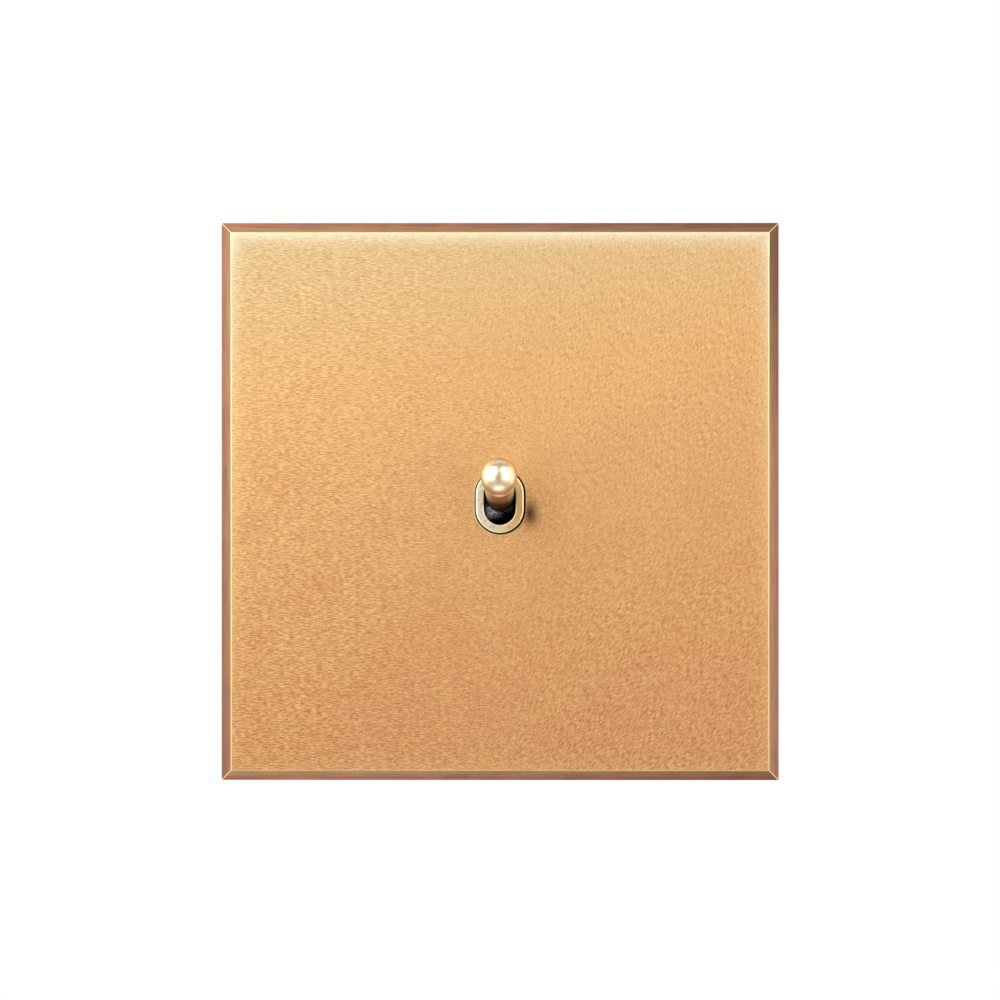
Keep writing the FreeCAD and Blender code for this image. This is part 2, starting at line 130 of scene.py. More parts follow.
# %% [markdown]
# Brass has no colour of its own to show without something to reflect. Two large soft boxes stand
# left and right of the camera with a dark gap between them, so that the ball shows two bright sides
# and a darker middle. Cards beside, above and below the wall plane light the ball's rim and the
# bevels. None of them shows to the camera, which may be moved behind them. The room is white to the
# camera and dim to the metal, darker overhead and darkest behind the camera.

# %% Lights and room
LIGHTS = {
    # azimuth (0 is the camera's side, positive to the right), elevation, distance, width, height, radiance
    "left_box": (-52, 14, 0.50, 0.53, 0.76, 2.0),
    "right_box": (47, 13, 0.50, 0.51, 0.74, 1.8),
    "top_left_box": (-38, 44, 0.50, 0.20, 0.20, 2.0),
    "top_right_box": (36, 42, 0.50, 0.20, 0.20, 2.0),
    "key": (-27, 26, 0.50, 0.20, 0.20, 4.2),
    "low_card": (0, -77, 0.50, 0.40, 0.24, 1.1),
    "high_edge_card": (0, 101, 0.50, 0.50, 0.16, 1.1),
    "left_edge_card": (-99, 5, 0.50, 0.26, 0.70, 1.4),
    "right_edge_card": (99, 5, 0.50, 0.26, 0.70, 1.25),
    "rear_box": (150, 30, 0.60, 0.60, 0.60, 1.6),
    "rear_side_box": (-125, 25, 0.60, 0.50, 0.60, 1.2),
}


def soft_box(name, azimuth, elevation, distance, width, height, radiance):
    """A rectangular light aimed at the switch."""
    data = bpy.data.lights.new(name, "AREA")
    data.shape, data.size, data.size_y = "RECTANGLE", width, height
    data.energy = radiance * math.pi * width * height
    light = bpy.data.objects.new(name, data)
    turn = Matrix.Rotation(math.radians(azimuth), 3, "Z") @ Matrix.Rotation(math.radians(-elevation), 3, "X")
    away = turn @ Vector((0, -1, 0))
    light.location = away * distance
    light.rotation_euler = away.to_track_quat("Z", "Y").to_euler()
    light.visible_camera = False
    bpy.context.scene.collection.objects.link(light)


for name, values in LIGHTS.items():
    soft_box(name, *values)

world = bpy.data.worlds.new("white_room")
bpy.context.scene.world = world
world.use_nodes = True
world.node_tree.nodes.clear()
node = partial(add, world.node_tree)
direction = node("ShaderNodeTexCoord", out="Generated")
dim = node(RANGE, [node(SPLIT, [direction], "Z"), -0.6, 0.8, 0.64, 0.32])
behind_camera = node(RANGE, [node(SPLIT, [direction], "Y"), -0.97, -0.85, 0.6, 1.0])
dim = node("MULTIPLY", [dim, behind_camera])
lit = node("ShaderNodeBackground", ["fff6ea", dim])
seen = node("ShaderNodeBackground", ["ffffff", 1.0])
camera_ray = node("ShaderNodeLightPath", out="Is Camera Ray")
node("ShaderNodeOutputWorld", [node("ShaderNodeMixShader", [camera_ray, lit, seen])])
bpy.context.scene.view_settings.view_transform = "Standard"
print(len(LIGHTS), "lights")


# %% [markdown]
# The switch lives on a wall, so the floor is only a pale round table far below it.

# %% Floor
FLOOR_RADIUS, FLOOR_DROP = 0.5, 0.6
floor_mesh = bpy.data.meshes.new("floor")
shape = bmesh.new()
bmesh.ops.create_circle(shape, cap_ends=True, segments=128, radius=FLOOR_RADIUS)
shape.to_mesh(floor_mesh)
shape.free()
floor_mesh.transform(Matrix.Translation((0, 0, plate_low.z - FLOOR_DROP)))
floor = bpy.data.objects.new("floor", floor_mesh)
bpy.context.scene.collection.objects.link(floor)
# matt pale paint
paint = bpy.data.materials.new("pale_table_paint")
paint.use_nodes = True
paint_shader = paint.node_tree.nodes["Principled BSDF"].inputs
paint_shader["Base Color"].default_value = linear("e6e3de")
paint_shader["Roughness"].default_value = 0.8
floor_mesh.materials.append(paint)


# %% [markdown]
# # Finishes
# Metals and mouldings differ in colour and gloss, but their surfaces share a few causes: rolling or
# brushing leaves fine parallel lines, casting and handling leave blotches, and edges wear first.
# One function makes a pattern of noise at a size in millimetres, stretched and turned the way the
# tool went. A second one starts a material with the numbers that hold for its whole surface.

# %% Patterns at a real size
def noise(node, size, stretch=(1, 1, 1), turn=(0, 0, 0), detail=3.0, seed=0.0):
    """Noise with grains size millimetres across, stretched along its axes, then turned in degrees."""
    spot = node("ShaderNodeTexCoord", out="Object")
    spot = node("ShaderNodeMapping", {0: spot, "Rotation": [math.radians(t) for t in turn]})
    scaled = node("ShaderNodeMapping", {0: spot, "Location": (seed, seed * 0.7, -seed),
                                        "Scale": [1 / (size * MM * s) for s in stretch]})
    return node("ShaderNodeTexNoise", {"Vector": scaled, "Scale": 1.0, "Detail": detail})


def material(name, colour, metallic, roughness, **extra):
    """A material, its way to add a node, and its shader with the values that are the same all over."""
    made = bpy.data.materials.new(name)
    made.use_nodes = True
    made.diffuse_color = linear(colour)
    shader = made.node_tree.nodes["Principled BSDF"]
    shader.inputs["Base Color"].default_value = linear(colour)
    shader.inputs["Metallic"].default_value = metallic
    shader.inputs["Roughness"].default_value = roughness
    for socket, value in extra.items():
        shader.inputs[socket.replace("_", " ")].default_value = value
    return made, partial(add, made.node_tree), shader


def surface(node, shader, colour, roughness, height, depth):
    """Links a finish's colour, its roughness, and its relief of height (0 to 1) times depth millimetres."""
    normal = node("ShaderNodeBump", {"Height": height, "Distance": depth * MM, "Strength": 0.7})
    for socket, value in (("Base Color", colour), ("Roughness", roughness), ("Normal", normal)):
        shader.id_data.links.new(value, shader.inputs[socket])


# %% [markdown]
# ## Antique brass, brushed by hand
# The plate is milled from brass sheet, brushed by hand, darkened and waxed. First the patina, in faint
# slanting bands where the bath ran down, with painted light over it: palest at the top left where the
# light falls, a painted pale wash of light along the top, and a painted shadow of the lever beside the
# bushing. It follows from where a point lies on the plate, so it reads the plate's own coordinates.

# %% Patina and painted light
BEVEL = 1.5
half_plate = plate_size / 2 / MM
# where the painted shadow of the lever lies on the face, and its size, in millimetres
LEVER_SHADOW_X, LEVER_SHADOW_Z, LEVER_SHADOW_WIDTH, LEVER_SHADOW_HEIGHT = 4.4, -1.7, 1.6, 2.6


def patina_with_painted_light(node, x, z):
    """Colour over the face with painted light and the lever's painted shadow, from millimetres right of and above
    its centre.
    """
    # painted light: paler towards the top left, where the light falls, darker towards the bottom right
    light_falloff = node("MULTIPLY_ADD", [z, -0.0105, node("MULTIPLY", [x, 0.0026])])
    bands = noise(node, 7, (4, 1, 1), (0, 38, 0), 1.5, 3.1)
    blotches = noise(node, 5, (1.6, 1, 1), (0, 30, 0), 3.0, 8.3)
    age = node("MULTIPLY_ADD", [bands, 0.5, light_falloff])
    age = node("MULTIPLY_ADD", [blotches, 0.25, age])
    age = node(RANGE, [age, -0.245, 0.995], **SMOOTH)
    tone = node(MIX, {0: age, 6: "f4cc8f", 7: "e8b481"}, **TINT)
    # painted light: a pale wash along the top of the face
    top_light_wash = node(RANGE, [node("MULTIPLY_ADD", [x, -0.12, z]), 20, 44, 0.0, 0.75])
    tone = node(MIX, {0: top_light_wash, 6: tone, 7: "dfd0a6"}, **TINT)
    offset = node("ShaderNodeCombineXYZ", [x, z, 0])
    shift = (-LEVER_SHADOW_X / LEVER_SHADOW_WIDTH, -LEVER_SHADOW_Z / LEVER_SHADOW_HEIGHT, 0)
    offset = node("ShaderNodeMapping", {0: offset, "Location": shift,
                                        "Scale": (1 / LEVER_SHADOW_WIDTH, 1 / LEVER_SHADOW_HEIGHT, 1)})
    near = node("ShaderNodeVectorMath", [offset], 1, operation="LENGTH")
    # painted shadow of the lever, cast by the light from the upper left, its edge broken by the blotches
    lever_shadow = node("ADD", [near, node("MULTIPLY", [blotches, 0.9])])
    lever_shadow = node(RANGE, [lever_shadow, 0.45, 1.75, 0.95, 0.0], **SMOOTH)
    return node(MIX, {0: lever_shadow, 6: tone, 7: "522c12"}, **TINT)


# %% [markdown]
# Then the brushing. Strokes run level at the left, and slant more and more towards the right, with
# a fine mottle of abrasive between them and a few long scratches from the coarsest grit.

# %% Brushing
def brushing(node, x, z):
    """How high the brushed surface stands, from 0 to 1."""
    level = noise(node, 0.1, (8, 1, 1), (0, 0, 0), 2.0, 1.7)
    steep = noise(node, 0.1, (7, 1, 1), (0, 57, 0), 2.0, 4.2)
    slanted = noise(node, 0.1, (7, 1, 1), (0, 42, 0), 2.0, 6.9)
    wander = noise(node, 18, detail=1.0, seed=2.0)
    rightness = node(RANGE, [node("MULTIPLY_ADD", [wander, 30, x]), -7, 31])
    lowness = node(RANGE, [node("MULTIPLY_ADD", [wander, 30, z]), -5, 29, 1, 0])
    slanting = node(MIX, {0: lowness, 2: steep, 3: slanted})
    strokes = node(MIX, {0: rightness, 2: level, 3: slanting})
    mottle = noise(node, 0.12, (1.3, 1, 1), (0, 25, 0), 2.0, 5.5)
    return node(MIX, {0: 0.38, 2: strokes, 3: mottle})


def scratches(node):
    """Where a single long scratch runs."""
    coarse = noise(node, 0.12, (90, 1, 1), (0, 0.6, 0), 1.0, 9.4)
    return node(RANGE, [coarse, 0.62, 0.76, 0.0, 0.14])


# %% [markdown]
# The bevel isn't brushed: the cutter left long streaks on it, redder near its outer edge, where the
# bath bit deepest. Painted light and shade make it lighter or darker along each side, by how the light
# falls on it. The arris between bevel and face, the mitres, and the rim of the face are where cloths
# and fingers rub the patina off; the arris and the rim also carry a painted highlight, whitest at the top.

# %% Bevel
def bevel_painted_shade(node, x, z, on_sides):
    """How light the bevel is: painted light and shade along the four sides, by how the light falls on each."""
    top = node(RANGE, [x, -half_plate, half_plate, 1.48, 0.74])
    bottom = node(RANGE, [x, -half_plate, half_plate, 1.02, 0.55])
    ends = node(MIX, {0: node("GREATER_THAN", [z, 0]), 2: bottom, 3: top})
    left = node(RANGE, [z, -half_plate, half_plate, 0.6, 0.82])
    right = node(RANGE, [z, 0, half_plate, 0.84, 0.43], **SMOOTH)
    sides = node(MIX, {0: node("GREATER_THAN", [x, 0]), 2: left, 3: right})
    return node(MIX, {0: on_sides, 2: ends, 3: sides})


def bevel_cut(node, x, z, on_sides, inward, streaks):
    """The colour of the bevel."""
    depth = node(RANGE, [inward, 0.2, BEVEL - 0.2], **SMOOTH)
    tan = node(MIX, {0: depth, 6: "a67462", 7: "ad956a"}, **TINT)
    dark = node(RANGE, [streaks, 0.36, 0.62, 0.5, 0.0])
    tan = node(MIX, {0: dark, 6: tan, 7: "7d4a3c"}, **TINT)
    blotch = node(RANGE, [noise(node, 4.5, detail=3.0, seed=14.0), 0.4, 0.65, 0.0, 0.5])
    tan = node(MIX, {0: blotch, 6: tan, 7: "b87f66"}, **TINT)
    shade = node("ShaderNodeCombineColor", [bevel_painted_shade(node, x, z, on_sides)] * 3)
    return node(MIX, {0: 1.0, 6: tan, 7: shade}, **TINT, blend_type="MULTIPLY")


# %% [markdown]
# The finish itself lays these over each other: brushed patina, rubbed rim with a painted highlight,
# bevel, arris with a painted highlight, and painted shade on the slot wall.

# %% Antique brass
def antique_brass():
    # milled brass sheet, hand brushed, chemically darkened and waxed
    made, node, shader = material("antique_brass", "dba66e", 1.0, 0.5)
    where = node(SPLIT, [node("ShaderNodeTexCoord", out="Object")]).node.outputs
    x, z = [node("MULTIPLY", [where[axis], 1 / MM]) for axis in "XZ"]
    across, up = [node("ABSOLUTE", [value]) for value in (x, z)]
    outermost = node("MAXIMUM", [across, up])
    inward = node("SUBTRACT", [half_plate, outermost])
    on_sides = node("GREATER_THAN", [across, up])

    grain = brushing(node, x, z)
    tone = node(RANGE, [grain, 0.4, 0.6])
    tone = node(MIX, {0: tone, 6: "aa8358", 7: "ffffff"}, **TINT)
    depth = node(RANGE, [z, -half_plate, half_plate, 0.85, 0.62])
    face = node(MIX, {0: depth, 6: patina_with_painted_light(node, x, z), 7: tone}, **TINT, blend_type="MULTIPLY")
    face = node(MIX, {0: scratches(node), 6: face, 7: "fff0c8"}, **TINT)

    # the rubbed rim of the face: worn patina with a painted highlight, whitest along the top where light falls
    ragged = node("MULTIPLY_ADD", [noise(node, 1.4, seed=7.7), 0.9, inward])
    near = node(RANGE, [ragged, BEVEL + 0.2, BEVEL + 4.2, 1.0, 0.0])
    rubbed_and_lit = node(RANGE, [z, -half_plate, half_plate, 0.14, 0.52])
    top_highlight = node(RANGE, [z, half_plate - 6, half_plate - 3, 0.0, 0.4], **SMOOTH)
    rubbed_and_lit = node("ADD", [rubbed_and_lit, top_highlight])
    in_front = node("LESS_THAN", [where["Y"], plate_front + 1.6 * MM])
    rubbed_and_lit = node("MULTIPLY", [rubbed_and_lit, in_front])
    rim = node("MULTIPLY", [node("POWER", [near, 3.0]), rubbed_and_lit])
    # painted highlight on the rim, whiter towards the top
    rim_highlight = node(RANGE, [z, 0, half_plate])
    rim_highlight = node(MIX, {0: rim_highlight, 6: "f6dc98", 7: "f0ead6"}, **TINT)
    face = node(MIX, {0: rim, 6: face, 7: rim_highlight}, **TINT)

    # the bevel with its streaks along each side, its mitres and the arris, rubbed and with a painted highlight
    streaks = node(MIX, {0: on_sides, 2: noise(node, 0.2, (40, 1, 1), seed=11.0),
                         3: noise(node, 0.2, (1, 1, 40), seed=12.0)})
    cut = bevel_cut(node, x, z, on_sides, inward, streaks)
    innermost = node("MINIMUM", [across, up])
    mitre = node("SUBTRACT", [outermost, innermost])
    mitre = node(RANGE, [mitre, 0.04, 0.16, 0.8, 0.0])
    cut = node(MIX, {0: mitre, 6: cut, 7: "ecd2a0"}, **TINT)
    on_bevel = node(RANGE, [inward, BEVEL - 0.12, BEVEL - 0.02, 1.0, 0.0])
    on_bevel = node("MULTIPLY", [on_bevel, in_front])
    colour = node(MIX, {0: on_bevel, 6: face, 7: cut}, **TINT)
    # the arris: rubbed patina and a painted highlight, stronger where the rim is lit
    arris_wear_and_highlight = node("COMPARE", [inward, BEVEL - 0.02, 0.1])
    arris_wear_and_highlight = node("MULTIPLY", [arris_wear_and_highlight, node("ADD", [rubbed_and_lit, 0.1])])
    arris_wear_and_highlight = node("MULTIPLY", [arris_wear_and_highlight, in_front])
    colour = node(MIX, {0: arris_wear_and_highlight, 6: colour, 7: "f0e0b4"}, **TINT)

    # a painted pale highlight along the slot's edge, and painted shade on its walls
    beyond = node("MAXIMUM", [node("SUBTRACT", [up, 1.09]), 0])
    away = node("ShaderNodeCombineXYZ", [x, beyond, 0])
    away = node("ShaderNodeVectorMath", [away], 1, operation="LENGTH")
    slot_edge_highlight = node(RANGE, [away, 3.75, 3.99, 0.7, 0.0])
    colour = node(MIX, {0: slot_edge_highlight, 6: colour, 7: "f4e2b0"}, **TINT)
    # painted shade on the slot's walls, deep behind the face where light doesn't reach
    sunk = node(RANGE, [where["Y"], plate_front + 0.06 * MM, plate_front + 0.2 * MM])
    inside = node("MULTIPLY", [sunk, node("LESS_THAN", [away, 3.9])])
    colour = node(MIX, {0: inside, 6: colour, 7: "1c120c"}, **TINT)

    gloss = node(RANGE, [grain, 0.3, 0.7, 0.56, 0.46])
    surface(node, shader, colour, gloss, node(MIX, {0: on_bevel, 2: grain, 3: streaks}), 0.004)
    return made


# %% [markdown]
# ## The other brasses
# The bushing is turned and satin finished, the lever is polished and lacquered, and the terminals
# are plain extruded brass. All three are the same alloy, so they differ in gloss and in the marks
# of the tool: a soft tumble grain on the bushing, haze on the lever, saw lines on the terminals.

# %% Satin, polished and terminal brass
toggle = next(joint for joint in frame["joints"] if joint["name"] == "toggle")
pivot = Vector(toggle["pos_m"])
tilt = math.radians(sum(abs(limit) for limit in toggle["range_deg"]) / 2)
tip_up = Matrix.Translation(pivot) @ Matrix.Rotation(-tilt, 4, "X")
level = tip_up.inverted()


def satin_brass():
    # turned brass, tumbled to a satin, with a painted highlight on its left side and front edge, and painted shade
    # on its sides in the slot
    made, node, shader = material("satin_brass", "ead3a0", 1.0, 0.36)
    grain = noise(node, 0.15, seed=1.0)
    where = node(SPLIT, [node("ShaderNodeTexCoord", out="Object")]).node.outputs
    drift = node("MULTIPLY_ADD", [noise(node, 2.2, (1, 1, 3), seed=2.0), 6 * MM, where["X"]])
    # painted light: the bushing is paler on its left side, where the left light reflects
    left_side_light = node(RANGE, [drift, 0.0, 6.5 * MM], **SMOOTH)
    tone = node(MIX, {0: left_side_light, 6: "fff6dc", 7: "f0c884"}, **TINT)
    specks = node(RANGE, [noise(node, 0.5, detail=4.0, seed=5.0), 0.52, 0.7, 0.0, 0.5])
    tone = node(MIX, {0: specks, 6: tone, 7: "a9977a"}, **TINT)
    ring_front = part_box("bezel_ring")[0].y
    # painted highlight along the bushing's front edge
    edge = node(RANGE, [where["Y"], ring_front + 0.01 * MM, ring_front + 0.07 * MM, 0.0, 0.85])
    tone = node(MIX, {0: edge, 6: tone, 7: "fff4d2"}, **TINT)
    # painted shade on the bushing's sides, down in the slot
    slot_side_shade = node(RANGE, [where["Y"], ring_front + 0.3 * MM, ring_front + 0.5 * MM])
    tone = node(MIX, {0: slot_side_shade, 6: tone, 7: "241a12"}, **TINT)
    surface(node, shader, tone, node(RANGE, [grain, 0.3, 0.7, 0.34, 0.42]), grain, 0.0015)
    return made


def polished_brass():
    # turned brass bar, polished on the ball; its lacquered stem has painted highlights on the flanks and painted
    # shade towards the slot
    made, node, shader = material("polished_brass", "f0e2c6", 1.0, 0.34, Specular_Tint=linear("a9b4c6"))
    haze = noise(node, 1.2, detail=4.0, seed=3.0)
    tone = node(RANGE, [haze, 0.35, 0.7])
    tone = node(MIX, {0: tone, 6: "f0e2c6", 7: "e4d0ac"}, **TINT)
    spot = node("ShaderNodeTexCoord", out="Object")
    along = node("ShaderNodeMapping", [spot, level.translation, level.to_euler()])
    along = node(SPLIT, [along], "Y")
    stem = node(RANGE, [along, -12.9 * MM, -12.5 * MM])
    # painted highlights on the stem's flanks
    flank_highlight = node("ABSOLUTE", [node(SPLIT, [spot], "X")])
    flank_highlight = node(RANGE, [flank_highlight, 0.9 * MM, 2.0 * MM], **SMOOTH)
    stem_tone_lit_and_shaded = node(MIX, {0: flank_highlight, 6: "d8ae80", 7: "ffeec4"}, **TINT)
    # painted shade on the stem where it goes down into the slot
    slot_shade_on_stem = node(RANGE, [along, -9.2 * MM, -5.5 * MM, 0.0, 0.75], **SMOOTH)
    stem_tone_lit_and_shaded = node(MIX, {0: slot_shade_on_stem, 6: stem_tone_lit_and_shaded, 7: "4a3222"}, **TINT)
    tone = node(MIX, {0: stem, 6: tone, 7: stem_tone_lit_and_shaded}, **TINT)
    gloss = node(MIX, {0: stem, 2: node(RANGE, [haze, 0.3, 0.7, 0.3, 0.38]), 3: 0.38})
    surface(node, shader, tone, gloss, noise(node, 0.1, seed=4.0), 0.001)
    return made


def terminal_brass():
    # extruded brass bar and strip, sawn and tumbled, going dull in patches
    made, node, shader = material("terminal_brass", "c9ab70", 1.0, 0.3)
    lines = noise(node, 0.16, (1, 25, 1), seed=5.0)
    tarnish = node(RANGE, [noise(node, 2.5, detail=4.0, seed=6.0), 0.35, 0.7])
    tone = node(MIX, {0: tarnish, 6: "d6b97c", 7: "a98451"}, **TINT)
    surface(node, shader, tone, node(RANGE, [lines, 0.3, 0.7, 0.24, 0.42]), lines, 0.005)
    return made


# %% [markdown]
# ## Steels, zinc, nickel and contact metals
# Each is one tone of metal, mottled by its plating or rolled in one direction. A table of real
# values makes them: the colours of the clean and the dull metal, its gloss, and the size, stretch
# and depth of its grain.

# %% Plain metals
METALS = {
    # drawn and ground steel: grey, with lines round or along the wire
    "hardened_pin_steel": ("b9b8b5", "8e8c88", (0.18, 0.30), 0.10, (12, 1, 1), 0.002),
    "spring_steel": ("a5a39f", "77746f", (0.22, 0.36), 0.12, (1, 1, 1), 0.002),
    # copper strip, rolled, going brown where it isn't touched
    "contact_copper": ("dd9870", "a8643f", (0.24, 0.40), 0.20, (1, 1, 18), 0.004),
    # soft silver rivets, pressed, faintly yellow with tarnish
    "contact_silver": ("e9e7e1", "cfc8b8", (0.16, 0.30), 0.25, (1, 1, 1), 0.003),
    # bright zinc, barrel plated: bluish white, with a soft bloom
    "zinc_plated_screws": ("c6cad0", "9da2aa", (0.20, 0.36), 0.40, (1, 1, 1), 0.003),
    # hard nickel over a magnet: warm, nearly a mirror
    "nickel_plated_magnet": ("cfcac0", "aaa396", (0.10, 0.20), 0.60, (1, 1, 1), 0.002),
    # phosphor bronze strip: pinkish brown, rolled along the finger
    "phosphor_bronze": ("cf9a6a", "9c6a42", (0.22, 0.38), 0.18, (20, 1, 1), 0.003),
}


def plain_metal(name, clean, dull, gloss, grain_size, stretch, depth):
    made, node, shader = material(name, clean, 1.0, sum(gloss) / 2)
    grain = noise(node, grain_size, stretch, seed=1.0)
    bloom = node(RANGE, [noise(node, 2.2, detail=4.0, seed=2.0), 0.38, 0.72])
    tone = node(MIX, {0: bloom, 6: clean, 7: dull}, **TINT)
    surface(node, shader, tone, node(RANGE, [grain, 0.3, 0.7, *gloss]), grain, depth)
    return made


# %% [markdown]
# ## Zinc plated sheet
# Zinc passivated in a clear bath is bluish grey with a faint straw and rose bloom that drifts over
# the sheet, and keeps the rolling lines of the steel under it.

# %% Zinc plated sheet
def zinc_plated_sheet():
    # cold rolled steel, zinc plated and passivated
    made, node, shader = material("zinc_plated_sheet", "b4b8bd", 1.0, 0.34)
    rolled = noise(node, 0.25, (30, 1, 1), seed=1.0)
    drift = node(RANGE, [noise(node, 14, detail=2.0, seed=2.0), 0.35, 0.65])
    cloud = node(RANGE, [noise(node, 3.0, detail=4.0, seed=3.0), 0.45, 0.75, 0.0, 0.6])
    tone = node(MIX, {0: drift, 6: "b3bac4", 7: "c6bfa9"}, **TINT)
    tone = node(MIX, {0: cloud, 6: tone, 7: "9fa0a6"}, **TINT)
    surface(node, shader, tone, node(RANGE, [rolled, 0.3, 0.7, 0.3, 0.42]), rolled, 0.0008)
    return made


# %% [markdown]
# ## Mouldings
# The lever's carrier is glass filled nylon: black and a little shiny, with a painted silvery highlight
# on the lower left, where light reaches it through the opening. The case is a thermoset, duller and
# greyer. Its mould was spark eroded, which leaves an even fine pebble. The plunger is natural nylon,
# white and slightly see-through at its edges.

# %% Moulded plastics
def moulding(name, light, dark, gloss, pebble, depth, **extra):
    made, node, shader = material(name, light, 0.0, sum(gloss) / 2, **extra)
    skin = noise(node, pebble, detail=4.0, seed=1.0)
    flow = node(RANGE, [noise(node, 6.0, (1, 1, 2), seed=2.0), 0.35, 0.7])
    tone = node(MIX, {0: flow, 6: light, 7: dark}, **TINT)
    surface(node, shader, tone, node(RANGE, [skin, 0.3, 0.7, *gloss]), skin, depth)
    return made


def moulding_with_painted_highlight():
    # glass filled nylon, with a painted granular highlight on the patch that faces the opening
    made, node, shader = material("black_moulding", "1c1a18", 0.0, 0.3, Specular_IOR_Level=0.25)
    skin = noise(node, 0.17, (1, 1, 1.6), (0, 35, 0), 3.0, 1.0)
    where = node(SPLIT, [node("ShaderNodeTexCoord", out="Object")]).node.outputs
    # painted highlight: a granular silvery patch low on the left of the drum
    low = node(RANGE, [where["Z"], -1.7 * MM, -0.3 * MM, 1.0, 0.0])
    lit_patch = node(RANGE, [where["X"], -1.5 * MM, 0.7 * MM, 1.0, 0.0], **SMOOTH)
    lit_patch = node("MULTIPLY", [low, lit_patch])
    granular_highlight = node("MULTIPLY", [node(RANGE, [skin, 0.42, 0.58]), lit_patch])
    tone = node(MIX, {0: granular_highlight, 6: "100e0d", 7: "f0eef8"}, **TINT)
    surface(node, shader, tone, node(RANGE, [skin, 0.3, 0.7, 0.22, 0.42]), skin, 0.02)
    return made


finishes = {
    "antique_brass": antique_brass(),
    "satin_brass": satin_brass(),
    "polished_brass": polished_brass(),
    "terminal_brass": terminal_brass(),
    "zinc_plated_sheet": zinc_plated_sheet(),
    "black_moulding": moulding_with_painted_highlight(),
    # a dark grey thermoset with a fine eroded pebble
    "case_moulding": moulding("case_moulding", "3a3a3c", "2c2c2f", (0.42, 0.62), 0.22, 0.02),
    # natural nylon
    "white_nylon": moulding("white_nylon", "ece8da", "d9d3c0", (0.34, 0.5), 0.2, 0.006,
                            Subsurface_Weight=0.15, Subsurface_Scale=0.001),
}
for name, values in METALS.items():
    finishes[name] = plain_metal(name, *values)
print(len(finishes), "finishes")


# %% [markdown]
# # Shapes
# Nearly every flat part here is a block with rounded corners and holes, and what makes it look real
# is its small edge radius. A wall is a stack of outlines, one for each step of depth; a plate is an
# outer wall and its hole walls, closed by a filled front and back. Turned parts are a profile spun
# round an axis. Both are a few lines of mesh code, and both leave plain closed meshes.

# %% Walls and plates
def outline(width, height, radius, inset=0.0, steps=8):
    """Points of a rectangle with round corners, moved inwards by inset, in millimetres."""
    radius = max(radius - inset, 0.02)
    w, h = width / 2 - inset - radius, height / 2 - inset - radius
    points = []
    for corner, (sx, sz) in enumerate(((1, 1), (-1, 1), (-1, -1), (1, -1))):
        for step in range(steps + 1):
            angle = math.pi / 2 * (corner + step / steps)
            points.append((sx * w + radius * math.cos(angle), sz * h + radius * math.sin(angle)))
    return points


def rounded_edge(front, back, front_radius, back_radius, outward=False, steps=3):
    """Depth and inset of each outline of a wall with a small round at both ends.
    A last narrow strip on each flat keeps its shading flat. outward is for a hole's wall."""
    sign = -1 if outward else 1
    strip = 0.04
    turns = [math.pi / 2 * step / steps for step in range(steps + 1)]
    made = [(front, front_radius + strip)]
    made += [(front + front_radius * (1 - math.cos(t)), front_radius * (1 - math.sin(t))) for t in turns]
    made += [(front + front_radius + strip, 0.0), (back - back_radius - strip, 0.0)]
    made += [(back - back_radius * (1 - math.cos(t)), back_radius * (1 - math.sin(t)))
             for t in reversed(turns)]
    made += [(back, back_radius + strip)]
    return [(depth, sign * inset) for depth, inset in made]


def wall(shape, size, rings, centre=(0, 0), steps=8):
    """Outlines of (width, height, radius) at each (depth, inset), joined by quads; returns the end edges."""
    loops = []
    for depth, inset in rings:
        loops.append([shape.verts.new(((x + centre[0]) * MM, depth * MM, (z + centre[1]) * MM))
                      for x, z in outline(*size, inset, steps)])
    for first, second in zip(loops, loops[1:]):
        for i in range(len(first)):
            j = (i + 1) % len(first)
            shape.faces.new((first[i], first[j], second[j], second[i]))
    ends = []
    for loop in (loops[0], loops[-1]):
        ends.append([shape.edges.get((loop[i], loop[(i + 1) % len(loop)])) for i in range(len(loop))])
    return ends


def finished(name, shape, finish, smooth=32):
    """Turns mesh code into an object with one finish, outward faces and crisp edges above an angle."""
    bmesh.ops.remove_doubles(shape, verts=shape.verts, dist=1e-7)
    bmesh.ops.recalc_face_normals(shape, faces=shape.faces)
    mesh = bpy.data.meshes.new(name)
    shape.to_mesh(mesh)
    shape.free()
    mesh.materials.append(finishes[finish])
    mesh.shade_smooth()
    mesh.set_sharp_from_angle(angle=math.radians(smooth))
    made = bpy.data.objects.new(name, mesh)
    bpy.context.scene.collection.objects.link(made)
    return made


def fill(shape, *ends):
    """Closes the flat between the end edges of an outer wall and of any hole walls."""
    edges = [edge for end in ends for edge in end]
    bmesh.ops.triangle_fill(shape, use_beauty=True, edges=edges)


def turned(profile, segments=64, matrix=None):
    """A profile of (distance along the axis, radius) in millimetres, spun about -Y, then moved."""
    shape, rings = bmesh.new(), []
    for along, radius in profile:
        count = segments if radius > 1e-6 else 1
        angles = [2 * math.pi * i / count for i in range(count)]
        rings.append([shape.verts.new((radius * math.cos(a) * MM, -along * MM, radius * math.sin(a) * MM))
                      for a in angles])
    for first, second in zip(rings, rings[1:]):
        for i in range(segments):
            j = (i + 1) % segments
            corners = [ring[k % len(ring)] for ring, k in ((first, i), (first, j), (second, j), (second, i))]
            shape.faces.new(list(dict.fromkeys(corners)))
    if matrix is not None:
        shape.transform(matrix)
    return shape


def arc(centre, radius, start, end, steps):
    """Points on an arc of a profile, with angles in degrees from the axis direction."""
    turns = [math.radians(start + (end - start) * i / steps) for i in range(steps + 1)]
    return [(centre[0] + radius * math.cos(t), centre[1] + radius * math.sin(t)) for t in turns]


def place(made, part, body="wall_side"):
    """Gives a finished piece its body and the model's part it stands for."""
    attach(made, body)
    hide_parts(part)
    print(f"{made.name}: {len(made.data.polygons)} faces on {body}")


